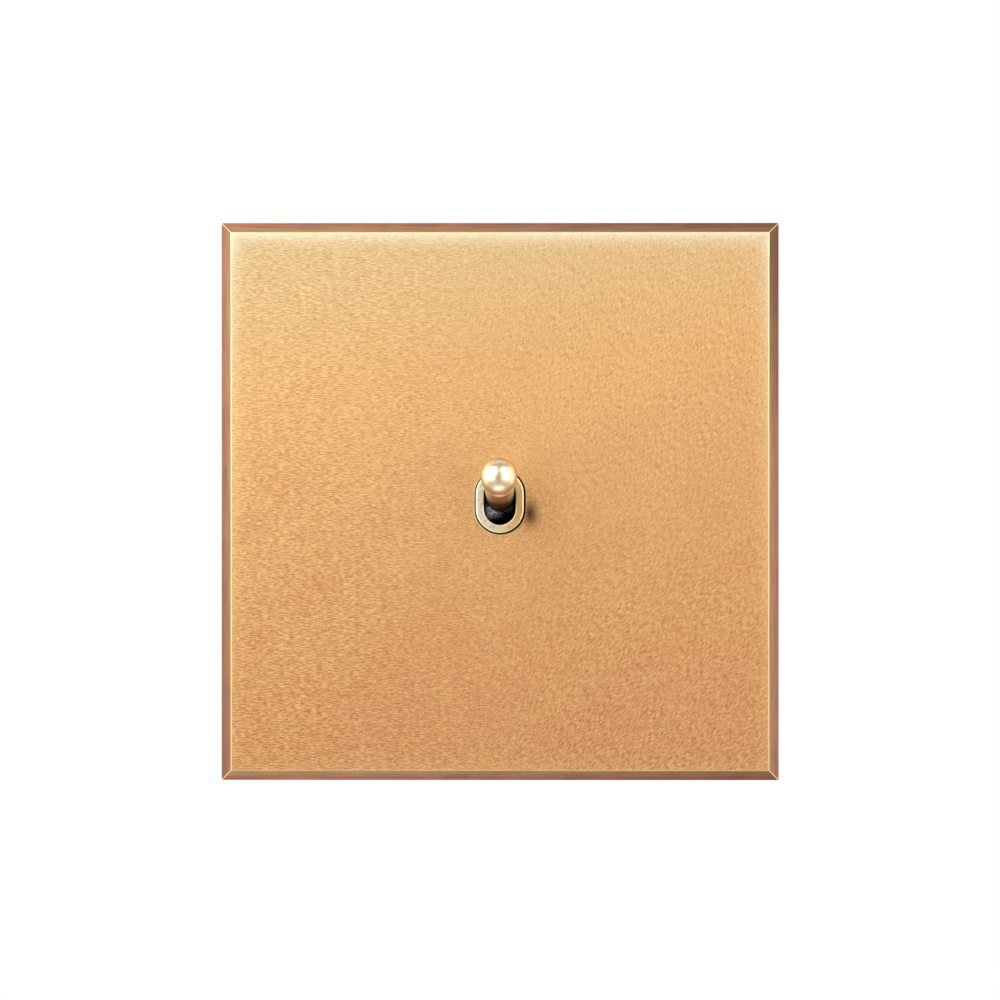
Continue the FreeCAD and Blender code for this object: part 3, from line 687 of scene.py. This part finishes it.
# %% [markdown]
# ## The face plate
# One block of brass, bevelled at 45 degrees all round, with a slot for the bushing and a deep
# pocket behind. A milled bevel never meets the face at a perfect line: the arris is rubbed to a
# radius of a tenth or two, and that tiny round is what catches the bright line along every edge.
# So the outer wall steps through the arris, the bevel and the outer edge. The plate hangs on
# magnets with a little play, so its slot sits a hair to the right of the bushing.

# %% Face plate
ARRIS, OUTER_EDGE = 0.16, 0.1
WEB, POCKET, POCKET_RADIUS = 1.8, 73.0, 3.5
SLOT, SLOT_CENTRE = (7.37, 9.55, 3.68), (0.06, -0.02)


def face_plate():
    front, back = plate_front / MM, plate_high.y / MM
    turns = [math.pi / 4 * step / 4 for step in range(5)]
    start = BEVEL + ARRIS * math.tan(math.pi / 8)
    outer = [(front, start + 0.04)]
    outer += [(front + ARRIS * (1 - math.cos(t)), start - ARRIS * math.sin(t)) for t in turns]
    outer += [(front + BEVEL * share, BEVEL * (1 - share)) for share in (0.15, 0.5, 0.9)]
    middle = front + BEVEL + OUTER_EDGE * math.tan(math.pi / 8)
    outer += [(middle - OUTER_EDGE * math.sin(t), OUTER_EDGE * (1 - math.cos(t))) for t in reversed(turns)]
    outer += [(middle + 0.04, 0.0), (back - 0.12, 0.0), (back - 0.08, 0.0), (back - 0.02, 0.03), (back, 0.08)]
    shape = bmesh.new()
    outside = wall(shape, (2 * half_plate, 2 * half_plate, 0.22), outer, steps=4)
    slot = rounded_edge(front, front + WEB, 0.12, 0.05, True)
    slot = wall(shape, SLOT, slot, SLOT_CENTRE, 16)
    fillet = [(front + WEB, 0.5), (front + WEB + 0.15, 0.15), (front + WEB + 0.5, 0.0), (back - 0.1, 0.0),
              (back, -0.1)]
    inside = wall(shape, (POCKET, POCKET, POCKET_RADIUS), fillet, steps=10)
    fill(shape, outside[0], slot[0])
    fill(shape, slot[1], inside[0])
    fill(shape, outside[1], inside[1])
    return finished("brushed_face_plate", shape, "antique_brass", 50)


place(face_plate(), "face_plate")


# %% [markdown]
# ## The slotted bushing
# A turned and milled brass bushing stands a little proud of the plate, in a slot cut a hair larger,
# so a thin dark line runs round it. Its lip carries the lever's opening; behind the lip the bore is
# wider, and a flange at the back is trapped by the case. Two holes take the pivot pin.

# %% Bushing
sideways = Matrix.Rotation(math.pi / 2, 4, "Z")
PIN_RADIUS = 0.75
BUSHING, MOUTH, FLANGE = (7.05, 9.23, 3.524), (4.66, 6.84, 2.329), (12, 14, 3.5)


def cut(made, shape, operation="DIFFERENCE"):
    """Cuts a shape out of a piece, or joins it on."""
    tool = finished("tool", shape, made.data.materials[0].name)
    modifier = made.modifiers.new("cut", "BOOLEAN")
    modifier.object, modifier.operation, modifier.solver = tool, operation, "EXACT"
    applied(made)
    bpy.data.objects.remove(tool)
    return made


def applied(made, smooth=32):
    """Turns a piece with live modifiers into a plain mesh."""
    graph = bpy.context.evaluated_depsgraph_get()
    mesh = bpy.data.meshes.new_from_object(made.evaluated_get(graph))
    made.modifiers.clear()
    made.data = mesh
    mesh.shade_smooth()
    mesh.set_sharp_from_angle(angle=math.radians(smooth))
    return made


def cylinder(radius, start, end, matrix=None, segments=48):
    """A plain round tool for cutting, along -Y from start to end."""
    return turned([(start, 0), (start, radius), (end, radius), (end, 0)], segments, matrix)


def bushing():
    low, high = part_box("bezel_ring")
    front, back = low.y / MM, high.y / MM
    lip, bore = 1.2, 0.495
    shape = bmesh.new()
    body_wall = rounded_edge(front, 0.0, 0.2, 0.0)[:-4] + [(0.0, 0.0)]
    outer = wall(shape, BUSHING, body_wall, steps=16)
    mouth = rounded_edge(front, front + lip, 0.16, 0.0, True)[:-4]
    mouth += [(front + lip, 0.0), (front + lip, -bore), (back, -bore)]
    inner = wall(shape, MOUTH, mouth, steps=16)
    flange = wall(shape, FLANGE, rounded_edge(0.0, back, 0.1, 0.1))
    fill(shape, outer[0], inner[0])
    fill(shape, outer[1], flange[0])
    fill(shape, inner[1], flange[1])
    made = finished("satin_bushing", shape, "satin_brass")
    across = Matrix.Translation(pivot) @ sideways
    return cut(made, cylinder(PIN_RADIUS, -9, 9, across))


place(bushing(), "bezel_ring")


# %% [markdown]
# ## The lever
# The lever is turned from bar in one piece: a ball, a short neck and a stem that widens towards the
# ball. A profile spun round the axis is how the lathe made it too. The arc is given many steps,
# because the ball is the one place where a facet would show.

# %% Lever
BALL_RADIUS, BALL_AHEAD, NECK = 2.7, 15.0, 1.8


def lever():
    meet = math.degrees(math.asin(NECK / BALL_RADIUS))
    profile = [(-2.5, 0), (-2.5, 1.0), (-2.2, 1.3), (1.5, 1.3), (1.5, 1.85), (1.6, 1.95), (6.0, 2.11)]
    profile += [(11.2, 2.29), (11.35, 2.295), (11.6, 2.22), (11.9, 2.0), (12.2, 1.86), (12.5, NECK)]
    profile += arc((BALL_AHEAD, 0), BALL_RADIUS, 180 - meet, 0, 40)[:-1] + [(BALL_AHEAD + BALL_RADIUS, 0)]
    made = finished("ball_lever", turned(profile, 96, tip_up), "polished_brass", 40)
    across = Matrix.Translation(pivot) @ sideways
    return cut(made, cylinder(PIN_RADIUS + 0.03, -5, 5, across))


place(lever(), "toggle_lever", "lever")


# %% [markdown]
# # Behind the plate
# Most inner parts are simple blocks, strips and discs, and what they need is the small radius that
# tumbling, moulding or stamping leaves. A copy of the model's own part has its flat faces joined
# up, and then every edge sharper than 30 degrees is rounded to a radius in millimetres.

# %% Rounded copies of the model's parts
def softened(part, name, finish, edge, body="wall_side", tools=()):
    """Places a copy of a model part with its edges rounded, and then any tools cut out of it."""
    shape = bmesh.new()
    shape.from_mesh(frame["nodes"][part].data)
    shape.transform(frame["nodes"][part].matrix_world)
    bmesh.ops.remove_doubles(shape, verts=shape.verts, dist=1e-6)
    bmesh.ops.dissolve_limit(shape, angle_limit=math.radians(1), verts=shape.verts, edges=shape.edges)
    made = finished(name, shape, finish)
    bevel = made.modifiers.new("edges", "BEVEL")
    bevel.width, bevel.segments = edge * MM, 2
    bevel.limit_method, bevel.angle_limit, bevel.use_clamp_overlap = "ANGLE", math.radians(30), False
    applied(made, 38)
    for tool in tools:
        cut(made, tool)
    made.modifiers.new("flats_shade_flat", "WEIGHTED_NORMAL").keep_sharp = True
    place(applied(made, 38), part, body)


def box_tool(low, high):
    """A plain box between two corners in millimetres, for cutting."""
    shape = bmesh.new()
    size, middle = [(h - l) * MM for l, h in zip(low, high)], [(h + l) / 2 * MM for l, h in zip(low, high)]
    bmesh.ops.create_cube(shape, size=1, matrix=Matrix.LocRotScale(Vector(middle), None, Vector(size)))
    return shape


# %% [markdown]
# ## The carrier, its pin and the plunger
# The drum is moulded in black nylon round the lever's tail. A hardened pin driven across the bushing
# is the pivot of both; its ends are rounded so that it starts easily. The plunger is a nylon pin
# with a round nose, and its shoulder keeps it in the barrel.

# %% Carrier, pin and plunger
HALF_PIN_LENGTH = 3.475
softened("toggle_carrier", "moulded_carrier", "black_moulding", 0.12, "lever")

end = [(0.0, 0), (0.0, PIN_RADIUS - 0.15), (0.05, PIN_RADIUS - 0.05), (0.15, PIN_RADIUS)]
half_pin = [(HALF_PIN_LENGTH - along, radius) for along, radius in end]
profile = half_pin + [(-along, radius) for along, radius in reversed(half_pin)]
pin = turned(profile, 48, Matrix.Translation(pivot) @ sideways)
place(finished("ground_pivot_pin", pin, "hardened_pin_steel"), "pivot_pin")

profile = [(-6.6, 0), (-6.6, 1.3), (-6.65, 1.42), (-6.8, 1.5), (-8.6, 1.5), (-8.75, 1.42), (-8.8, 1.3),
           (-8.82, 1.2)] + arc((-9.15, 0), 1.2, 90, 180, 12)[:-1] + [(-10.35, 0)]
place(finished("nylon_plunger", turned(profile, 64, tip_up), "white_nylon"), "plunger", "plunger")


# %% [markdown]
# ## Windings: one recipe for spring and threads
# A compression spring and a screw thread are both a section swept along a helix. The tree bends a
# straight line of points into a helix about -Y and sweeps a round section along it. A spring's first
# and last turns lie close, so `Closed` is the share of the length that rises evenly, and the rest
# rises only between the end turns. A thread runs out into its shank, so `Run-out` sinks its ends.

# %% Winding recipe
POINTS_A_TURN = 28


def recipe(name, sizes):
    """A geometry tree with named inputs, its way to add a node, and the outputs of its input node."""
    kinds = {float: "NodeSocketFloat", int: "NodeSocketInt", bpy.types.Material: "NodeSocketMaterial",
             bpy.types.Object: "NodeSocketObject"}
    tree = bpy.data.node_groups.new(name, "GeometryNodeTree")
    tree.interface.new_socket("Geometry", in_out="INPUT", socket_type="NodeSocketGeometry")
    for label, kind in sizes.items():
        tree.interface.new_socket(label, in_out="INPUT", socket_type=kinds[kind])
    tree.interface.new_socket("Geometry", in_out="OUTPUT", socket_type="NodeSocketGeometry")
    node = partial(add, tree)
    return tree, node, node("NodeGroupInput").node.outputs


def grown(name, tree, values, start=None):
    """The plain mesh piece that a recipe makes of named values."""
    made = bpy.data.objects.new(name, start or bpy.data.meshes.new(name))
    bpy.context.scene.collection.objects.link(made)
    modifier = made.modifiers.new("recipe", "NODES")
    modifier.node_group = tree
    for socket in tree.interface.items_tree:
        if socket.in_out == "INPUT" and socket.name in values:
            modifier[socket.identifier] = values[socket.name]
    return applied(made, 40)


winding, node, given = recipe("winding", {
    "Radius": float, "Section": float, "Turns": float, "Length": float, "Closed": float,
    "Run-out": float, "Finish": bpy.types.Material})
points = node("MULTIPLY", [given["Turns"], POINTS_A_TURN])
line = node("GeometryNodeCurvePrimitiveLine")
line = node("GeometryNodeResampleCurve", {"Curve": line, "Count": points})
share = node("GeometryNodeSplineParameter")
angle = node("MULTIPLY", [share, node("MULTIPLY", [given["Turns"], math.tau])])
one_turn = node("DIVIDE", [1, given["Turns"]])
but_one = node("SUBTRACT", [1, one_turn])
middle = node(RANGE, [share, one_turn, but_one])
rise = node(MIX, {0: given["Closed"], 2: middle, 3: share})
rise = node("MULTIPLY", [rise, given["Length"]])
edge = node("ABSOLUTE", [node("SUBTRACT", [share, 0.5])])
sunk = node(RANGE, [edge, 0.44, 0.5, 0.0, given["Run-out"]])
reach = node("SUBTRACT", [given["Radius"], sunk])
sides = [node("MULTIPLY", [node(turn, [angle]), reach]) for turn in ("COSINE", "SINE")]
back = node("MULTIPLY", [rise, -1])
spots = node("ShaderNodeCombineXYZ", [sides[0], back, sides[1]])
helix = node("GeometryNodeSetPosition", {"Geometry": line, "Position": spots})
section = node("GeometryNodeCurvePrimitiveCircle", {"Resolution": 8, "Radius": given["Section"]})
swept = node("GeometryNodeCurveToMesh", {"Curve": helix, "Profile Curve": section, "Fill Caps": True})
swept = node("GeometryNodeRealizeInstances", [swept])
swept = node("GeometryNodeSetMaterial", {"Geometry": swept, "Material": given["Finish"]})
node("NodeGroupOutput", [swept])
print("winding recipe", len(winding.nodes), "nodes")


# %% [markdown]
# ## The plunger spring
# Five working turns and a closed turn at each end, in 0.3 mm wire, squeezed between the barrel's
# floor and the plunger. It is wound about a level axis and then tipped up with the lever.

# %% Plunger spring
WIRE = 0.15 * MM
BARREL_FLOOR, SPRING_SPACE = 3.3 * MM, 3.3 * MM
spring_length = SPRING_SPACE - 2 * WIRE
spring = grown("wound_plunger_spring", winding, {
    "Radius": 1.15 * MM, "Section": WIRE, "Turns": 7.0, "Length": spring_length,
    "Closed": 7 * 2 * WIRE / spring_length, "Run-out": 0.0, "Finish": finishes["spring_steel"]})
spring.data.transform(tip_up @ Matrix.Translation((0, BARREL_FLOOR + SPRING_SPACE - WIRE, 0)))
place(spring, "plunger_spring", "lever")
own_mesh(spring)


# %% [markdown]
# ## Moving contact, saddle, strips and terminals
# The rocker is stamped from copper and folded to a shallow V; it tips on two trunnions in the
# saddle's notched ears. Silver rivets on its wings close on silver rivets on the strips. Each strip
# is riveted to a brass pillar that is sawn from bar and tumbled.

# %% Contacts, saddle, strips and terminal blocks
softened("contact_rocker", "stamped_rocker", "contact_copper", 0.14, "rocker")
softened("moving_contacts", "moving_silver_rivets", "contact_silver", 0.1, "rocker")
softened("fixed_contacts", "fixed_silver_rivets", "contact_silver", 0.1)
softened("common_saddle", "stamped_saddle", "terminal_brass", 0.14)
for side in ("lower", "upper"):
    softened(side + "_contact_strip", f"stamped_{side}_contact_strip", "terminal_brass", 0.14)
for side in ("lower", "common", "upper"):
    softened(side + "_terminal_block", f"tumbled_{side}_terminal_block", "terminal_brass", 0.16)


# %% [markdown]
# ## Copies: one recipe for every group of equal fasteners
# Screws, rivets, inserts and magnets are made once and set on points. Each point carries the way it
# faces, and each copy is spun about its own axis by a random share of `Spin`, with a fixed seed,
# because nobody lines up screw slots.

# %% Copies recipe
repeated, node, given = recipe("copies", {"Piece": bpy.types.Object, "Spin": float, "Seed": int,
                                          "Finish": bpy.types.Material})
piece = node("GeometryNodeObjectInfo", [given["Piece"]]).node.outputs["Geometry"]
facing = node("GeometryNodeInputNamedAttribute", ["facing"], data_type="FLOAT_VECTOR")
set_out = node("GeometryNodeInstanceOnPoints", {"Points": given["Geometry"], "Instance": piece,
                                                "Rotation": facing})
chance = node("FunctionNodeRandomValue", {"Seed": given["Seed"]}, 1)
spin = node("MULTIPLY", [chance, given["Spin"]])
spin = node("ShaderNodeCombineXYZ", [0, spin, 0])
set_out = node("GeometryNodeRotateInstances", {"Instances": set_out, "Rotation": spin})
plain = node("GeometryNodeRealizeInstances", [set_out])
plain = node("GeometryNodeSetMaterial", {"Geometry": plain, "Material": given["Finish"]})
node("NodeGroupOutput", [plain])


def copies(name, piece, places, spin=0.0, seed=1):
    """Copies of a piece at (x, y, z) in millimetres, each with its turn in degrees from facing -Y."""
    finish = piece.data.materials[0]
    points = bpy.data.meshes.new(name)
    points.from_pydata([Vector(at) * MM for at, _ in places], [], [])
    facing = points.attributes.new("facing", "FLOAT_VECTOR", "POINT")
    for value, (_, way) in zip(facing.data, places):
        value.vector = [math.radians(turn) for turn in way]
    made = grown(name, repeated, {"Piece": piece, "Spin": spin, "Seed": seed, "Finish": finish}, points)
    bpy.data.objects.remove(piece)
    return made


def join_grown(shape, matrix, tree, values):
    """Adds what a recipe makes, moved by a matrix, to a shape that is being made."""
    made = grown("grown", tree, values)
    made.data.transform(matrix)
    shape.from_mesh(made.data)
    bpy.data.objects.remove(made)


def threaded(shape, radius, pitch, start, length, finish):
    """Adds a rolled thread of an outer radius to a screw that is being made, back from start."""
    section = pitch * 0.36
    join_grown(shape, Matrix.Translation((0, (length - start) * MM, 0)), winding, {
        "Radius": (radius - section) * MM, "Section": section * MM, "Turns": length / pitch,
        "Length": length * MM, "Closed": 1.0, "Run-out": section * MM, "Finish": finishes[finish]})


# %% [markdown]
# ## Screws
# Three slotted clamp screws press on the wires and stand backed out, ready for a wire. Two
# countersunk screws with a cross recess hold the case to the frame. A pan-head screw with a slot is
# the earth terminal. Their threads are rolled, so the crests are round.

# %% Screws
FRONT, DOWN, LEFT, UP = (0, 0, 0), (90, 0, 0), (0, 0, -90), (-90, 0, 0)
CASE_X, CASE_Z = 15.5, 13.5  # the case's four corners: two with screws, two with rivets
EARTH_AT, FINGER_AT = (-11.5, -23.6), (20.5, -22)
TERMINAL_Y, TERMINAL_REACH = 16.2, 17.2


def screw(name, profile, core, tip, thread, slots, finish="zinc_plated_screws"):
    """A screw whose head faces -Y: its head's profile, core radius, tip, thread and slot boxes."""
    made = finished(name, turned(profile + [(tip + 0.3, core), (tip, core - 0.3), (tip, 0)], 48), finish)
    for low, high in slots:
        cut(made, box_tool(low, high))
    shape = bmesh.new()
    shape.from_mesh(made.data)
    threaded(shape, *thread, finish)
    bpy.data.objects.remove(made)
    return finished(name, shape, finish, 40)


head = [(1.6, 0), (1.6, 1.75), (1.52, 1.92), (1.35, 2.0), (0.1, 2.0), (0.0, 1.9), (0.0, 1.25)]
clamp = screw("clamp_screw", head, 1.25, -1.9, (1.5, 0.5, -0.15, 1.6), [((-3, -1.7, -0.3), (3, -0.8, 0.3))])
clamp_places = [((0, TERMINAL_Y, -TERMINAL_REACH), DOWN), ((-TERMINAL_REACH, TERMINAL_Y, 0), LEFT),
                ((0, TERMINAL_Y, TERMINAL_REACH), UP)]
place(copies("slotted_terminal_screws", clamp, clamp_places, math.pi, 4), "terminal_screws")

head = [(1.2, 0), (1.2, 2.6), (1.15, 2.68), (1.05, 2.68), (0.0, 1.5), (-0.2, 1.25)]
cross = [((-1.4, -1.3, -0.25), (1.4, -0.5, 0.25)), ((-0.25, -1.3, -1.4), (0.25, -0.5, 1.4))]
csk = screw("countersunk_screw", head, 1.25, -9.3, (1.5, 0.5, -0.4, 8.6), cross)
screw_places = [((-CASE_X, 0, CASE_Z), FRONT), ((CASE_X, 0, -CASE_Z), FRONT)]
place(copies("cross_recessed_screws", csk, screw_places, math.pi, 2), "mechanism_screws")

head = [(2.8, 0), (2.8, 1.6), (2.72, 2.2), (2.5, 2.6), (2.2, 2.85), (1.9, 2.9), (1.25, 2.88), (1.2, 2.8)]
pan = screw("pan_screw", head + [(1.2, 1.5)], 1.45, -6.3, (1.75, 0.7, 0.6, 6.2),
            [((-4, -3, -0.4), (4, -2.0, 0.4))])
earth_place = [((EARTH_AT[0], 0, EARTH_AT[1]), FRONT)]
place(copies("slotted_earth_screw", pan, earth_place, 0.9, 3), "earth_screw")


# %% [markdown]
# ## Rivets, inserts and magnets
# Tubular rivets close the case: a domed head in front, and behind it the tube's end rolled over.
# The inserts are knurled so that they hold in the plastic. The magnets are nickel plated discs with
# soft edges. The finger's rivet is solid, with a domed head.

# %% Knurl recipe
knurl, node, given = recipe("knurl", {"Radius": float, "Depth": float, "Length": float, "Ridges": int,
                                      "Finish": bpy.types.Material})
ring = node("GeometryNodeCurvePrimitiveCircle", {"Resolution": given["Ridges"], "Radius": given["Radius"]})
ring = node("GeometryNodeCurveToPoints", [ring, given["Ridges"]], mode="COUNT").node.outputs
ridge = node("ShaderNodeCombineXYZ", [given["Depth"], given["Depth"], given["Length"]])
ridge = node("GeometryNodeMeshCube", {"Size": ridge})
ridges = node("GeometryNodeInstanceOnPoints", {"Points": ring["Points"], "Instance": ridge,
                                               "Rotation": (0, 0, math.pi / 4)})
angle = node("DIVIDE", [node("GeometryNodeInputIndex"), given["Ridges"]])
angle = node("MULTIPLY", [angle, math.tau])
angle = node("ShaderNodeCombineXYZ", [0, 0, angle])
ridges = node("GeometryNodeRotateInstances", {"Instances": ridges, "Rotation": angle})
band = node("GeometryNodeRealizeInstances", [ridges])
band = node("GeometryNodeSetMaterial", {"Geometry": band, "Material": given["Finish"]})
node("NodeGroupOutput", [band])

# %% [markdown]
# The bands of the insert are grown by that recipe and joined to its turned body. Rivets, inserts
# and magnets are then set out by the copies recipe, as the screws were.

# %% Inserts, rivets and magnets
profile = [(-3.6, 1.55), (-3.6, 1.95), (-3.75, 2.1), (-5.8, 2.1), (-5.9, 1.9), (-7.3, 1.9), (-7.4, 2.1),
           (-9.4, 2.1), (-9.6, 1.9), (-9.6, 1.55), (-3.6, 1.55)]
shape = turned(profile, 48)
for start in (-4.8, -8.4):
    at = Matrix.Translation((0, -start * MM, 0)) @ Matrix.Rotation(math.pi / 2, 4, "X")
    join_grown(shape, at, knurl, {"Radius": 2.05 * MM, "Depth": 0.24 * MM, "Length": 1.7 * MM, "Ridges": 30,
                                  "Finish": finishes["terminal_brass"]})
insert = finished("insert", shape, "terminal_brass")
place(copies("knurled_inserts", insert, screw_places, math.pi, 5), "threaded_inserts")

profile = [(-0.15, 0), (-0.15, 1.6), (-0.3, 2.2), (-0.6, 2.55), (-0.85, 2.6), (-0.9, 2.5), (-0.9, 1.5),
           (-22.85, 1.5), (-22.85, 2.3), (-22.95, 2.4), (-23.15, 2.4), (-23.38, 2.15), (-23.45, 1.75),
           (-23.3, 1.2), (-22.9, 0.85), (-22.0, 0.8), (-1.5, 0.8), (-1.5, 0)]
rivet = finished("rivet", turned(profile, 56), "zinc_plated_screws", 30)
rivet_places = [((CASE_X, 0, CASE_Z), FRONT), ((-CASE_X, 0, -CASE_Z), FRONT)]
place(copies("tubular_rivets", rivet, rivet_places, math.pi, 6), "housing_rivets")

profile = [(2.0, 0), (2.0, 0.9), (1.9, 1.2), (1.7, 1.38), (1.55, 1.4), (1.5, 1.3), (1.5, 0.8), (0.05, 0.8),
           (0.0, 0.7), (0.0, 0)]
shape = turned(profile, 40, Matrix.Translation((FINGER_AT[0] * MM, 0, FINGER_AT[1] * MM)))
place(finished("domed_finger_rivet", shape, "zinc_plated_screws", 30), "earth_spring_rivet")

MAGNET_FRONT, MAGNET_BACK, MAGNET_REACH = 3.2, 1.2, 29
rim = [(0.0, 3.7), (0.03, 3.85), (0.13, 3.96), (0.3, 4.0)]
profile = [(MAGNET_FRONT, 0)] + [(MAGNET_FRONT - depth, radius) for depth, radius in rim]
profile += [(MAGNET_BACK + depth, radius) for depth, radius in reversed(rim)] + [(MAGNET_BACK, 0)]
magnet = finished("magnet", turned(profile, 72), "nickel_plated_magnet", 30)
reaches = (-MAGNET_REACH, MAGNET_REACH)
magnet_places = [((x, 0, z), FRONT) for x in reaches for z in reaches]
place(copies("disc_magnets", magnet, magnet_places, math.pi, 7), "plate_magnets")


# %% [markdown]
# ## The frame and the earth parts
# The frame is blanked from 1.2 mm steel: its edges are a little rounded on the die side. Stadium
# slots let the box screws find the wall box, two countersinks hold the case's screws. The clamp
# plate and the bronze finger are small pressings.

# %% Frame, clamp plate and finger
FRAME_FRONT = -1.2
BOX_SCREW_REACH = 30


def frame_hole(width, height, x=0.0, z=0.0):
    """A blanked hole: its centre, its outline and its wall, with a softly rounded front and rear."""
    size = (width, height, min(width, height) / 2 - 0.001)
    return (x, z), size, rounded_edge(FRAME_FRONT, 0.0, 0.1, 0.1, True)


def support_frame():
    holes = [frame_hole(7.35, 9.53), frame_hole(3.7, 3.7, *EARTH_AT), frame_hole(1.64, 1.64, *FINGER_AT)]
    holes += [frame_hole(7.0, 3.8, x, 0) for x in (-BOX_SCREW_REACH, BOX_SCREW_REACH)]
    holes += [frame_hole(3.8, 7.0, 0, z) for z in (-BOX_SCREW_REACH, BOX_SCREW_REACH)]
    sink = [(FRAME_FRONT, -1.27), (FRAME_FRONT + 0.03, -1.2), (-0.06, -0.03), (-0.02, 0.0), (0.0, -0.04)]
    holes += [((x, z), (3.1, 3.1, 1.549), sink) for x, z in ((-CASE_X, CASE_Z), (CASE_X, -CASE_Z))]
    shape = bmesh.new()
    ends = [wall(shape, (72, 72, 4), rounded_edge(FRAME_FRONT, 0.0, 0.25, 0.1), steps=10)]
    ends += [wall(shape, size, rings, centre, 10) for centre, size, rings in holes]
    fill(shape, *[end[0] for end in ends])
    fill(shape, *[end[1] for end in ends])
    return finished("blanked_support_frame", shape, "zinc_plated_sheet")


place(support_frame(), "support_frame")
softened("earth_clamp_plate", "pressed_clamp_plate", "terminal_brass", 0.2)
softened("earth_contact_spring", "bronze_earth_finger", "phosphor_bronze", 0.08)


# %% [markdown]
# ## The case
# Three mouldings, held by the two rivets: a front cover that traps the bushing's flange, a middle
# with the chambers, and a back with a flared window behind each wire hole. Moulded edges have about
# a quarter of a millimetre of radius, so thin shadow lines show where the three meet. One, two and
# three small dimples beside the windows tell the terminals apart.

# %% Case
def dimple(x, z):
    """A tool for one dimple in the back of the case."""
    profile = [(-25.0, 0), (-25.0, 0.9), (-23.5, 0.55), (-23.3, 0.35), (-23.25, 0)]
    return turned(profile, 20, Matrix.Translation((x * MM, 0, z * MM)))


DIMPLES = [(5.2, -13.5), (-14.4, 5.2), (-12.6, 5.2), (5.2, 15.3), (5.2, 13.5), (5.2, 11.7)]
softened("mechanism_cover", "moulded_case_front", "case_moulding", 0.3)
softened("mechanism_base", "moulded_case_middle", "case_moulding", 0.3)
softened("terminal_cover", "moulded_case_back", "case_moulding", 0.3,
         tools=[dimple(x, z) for x, z in DIMPLES])


# %% [markdown]
# ## The model's own parts
# Every part now has a detailed piece over it. The model's parts keep their finishes too, so that
# either can be shown.

# %% Finishes of the model's parts
slots = {part["node"]: part["material_slot"] for part in frame["record"]["subparts"]}
for name, part in frame["nodes"].items():
    for material_slot in part.material_slots:
        material_slot.material = finishes[slots[name]]
for plain in plain_materials:
    bpy.data.materials.remove(plain)
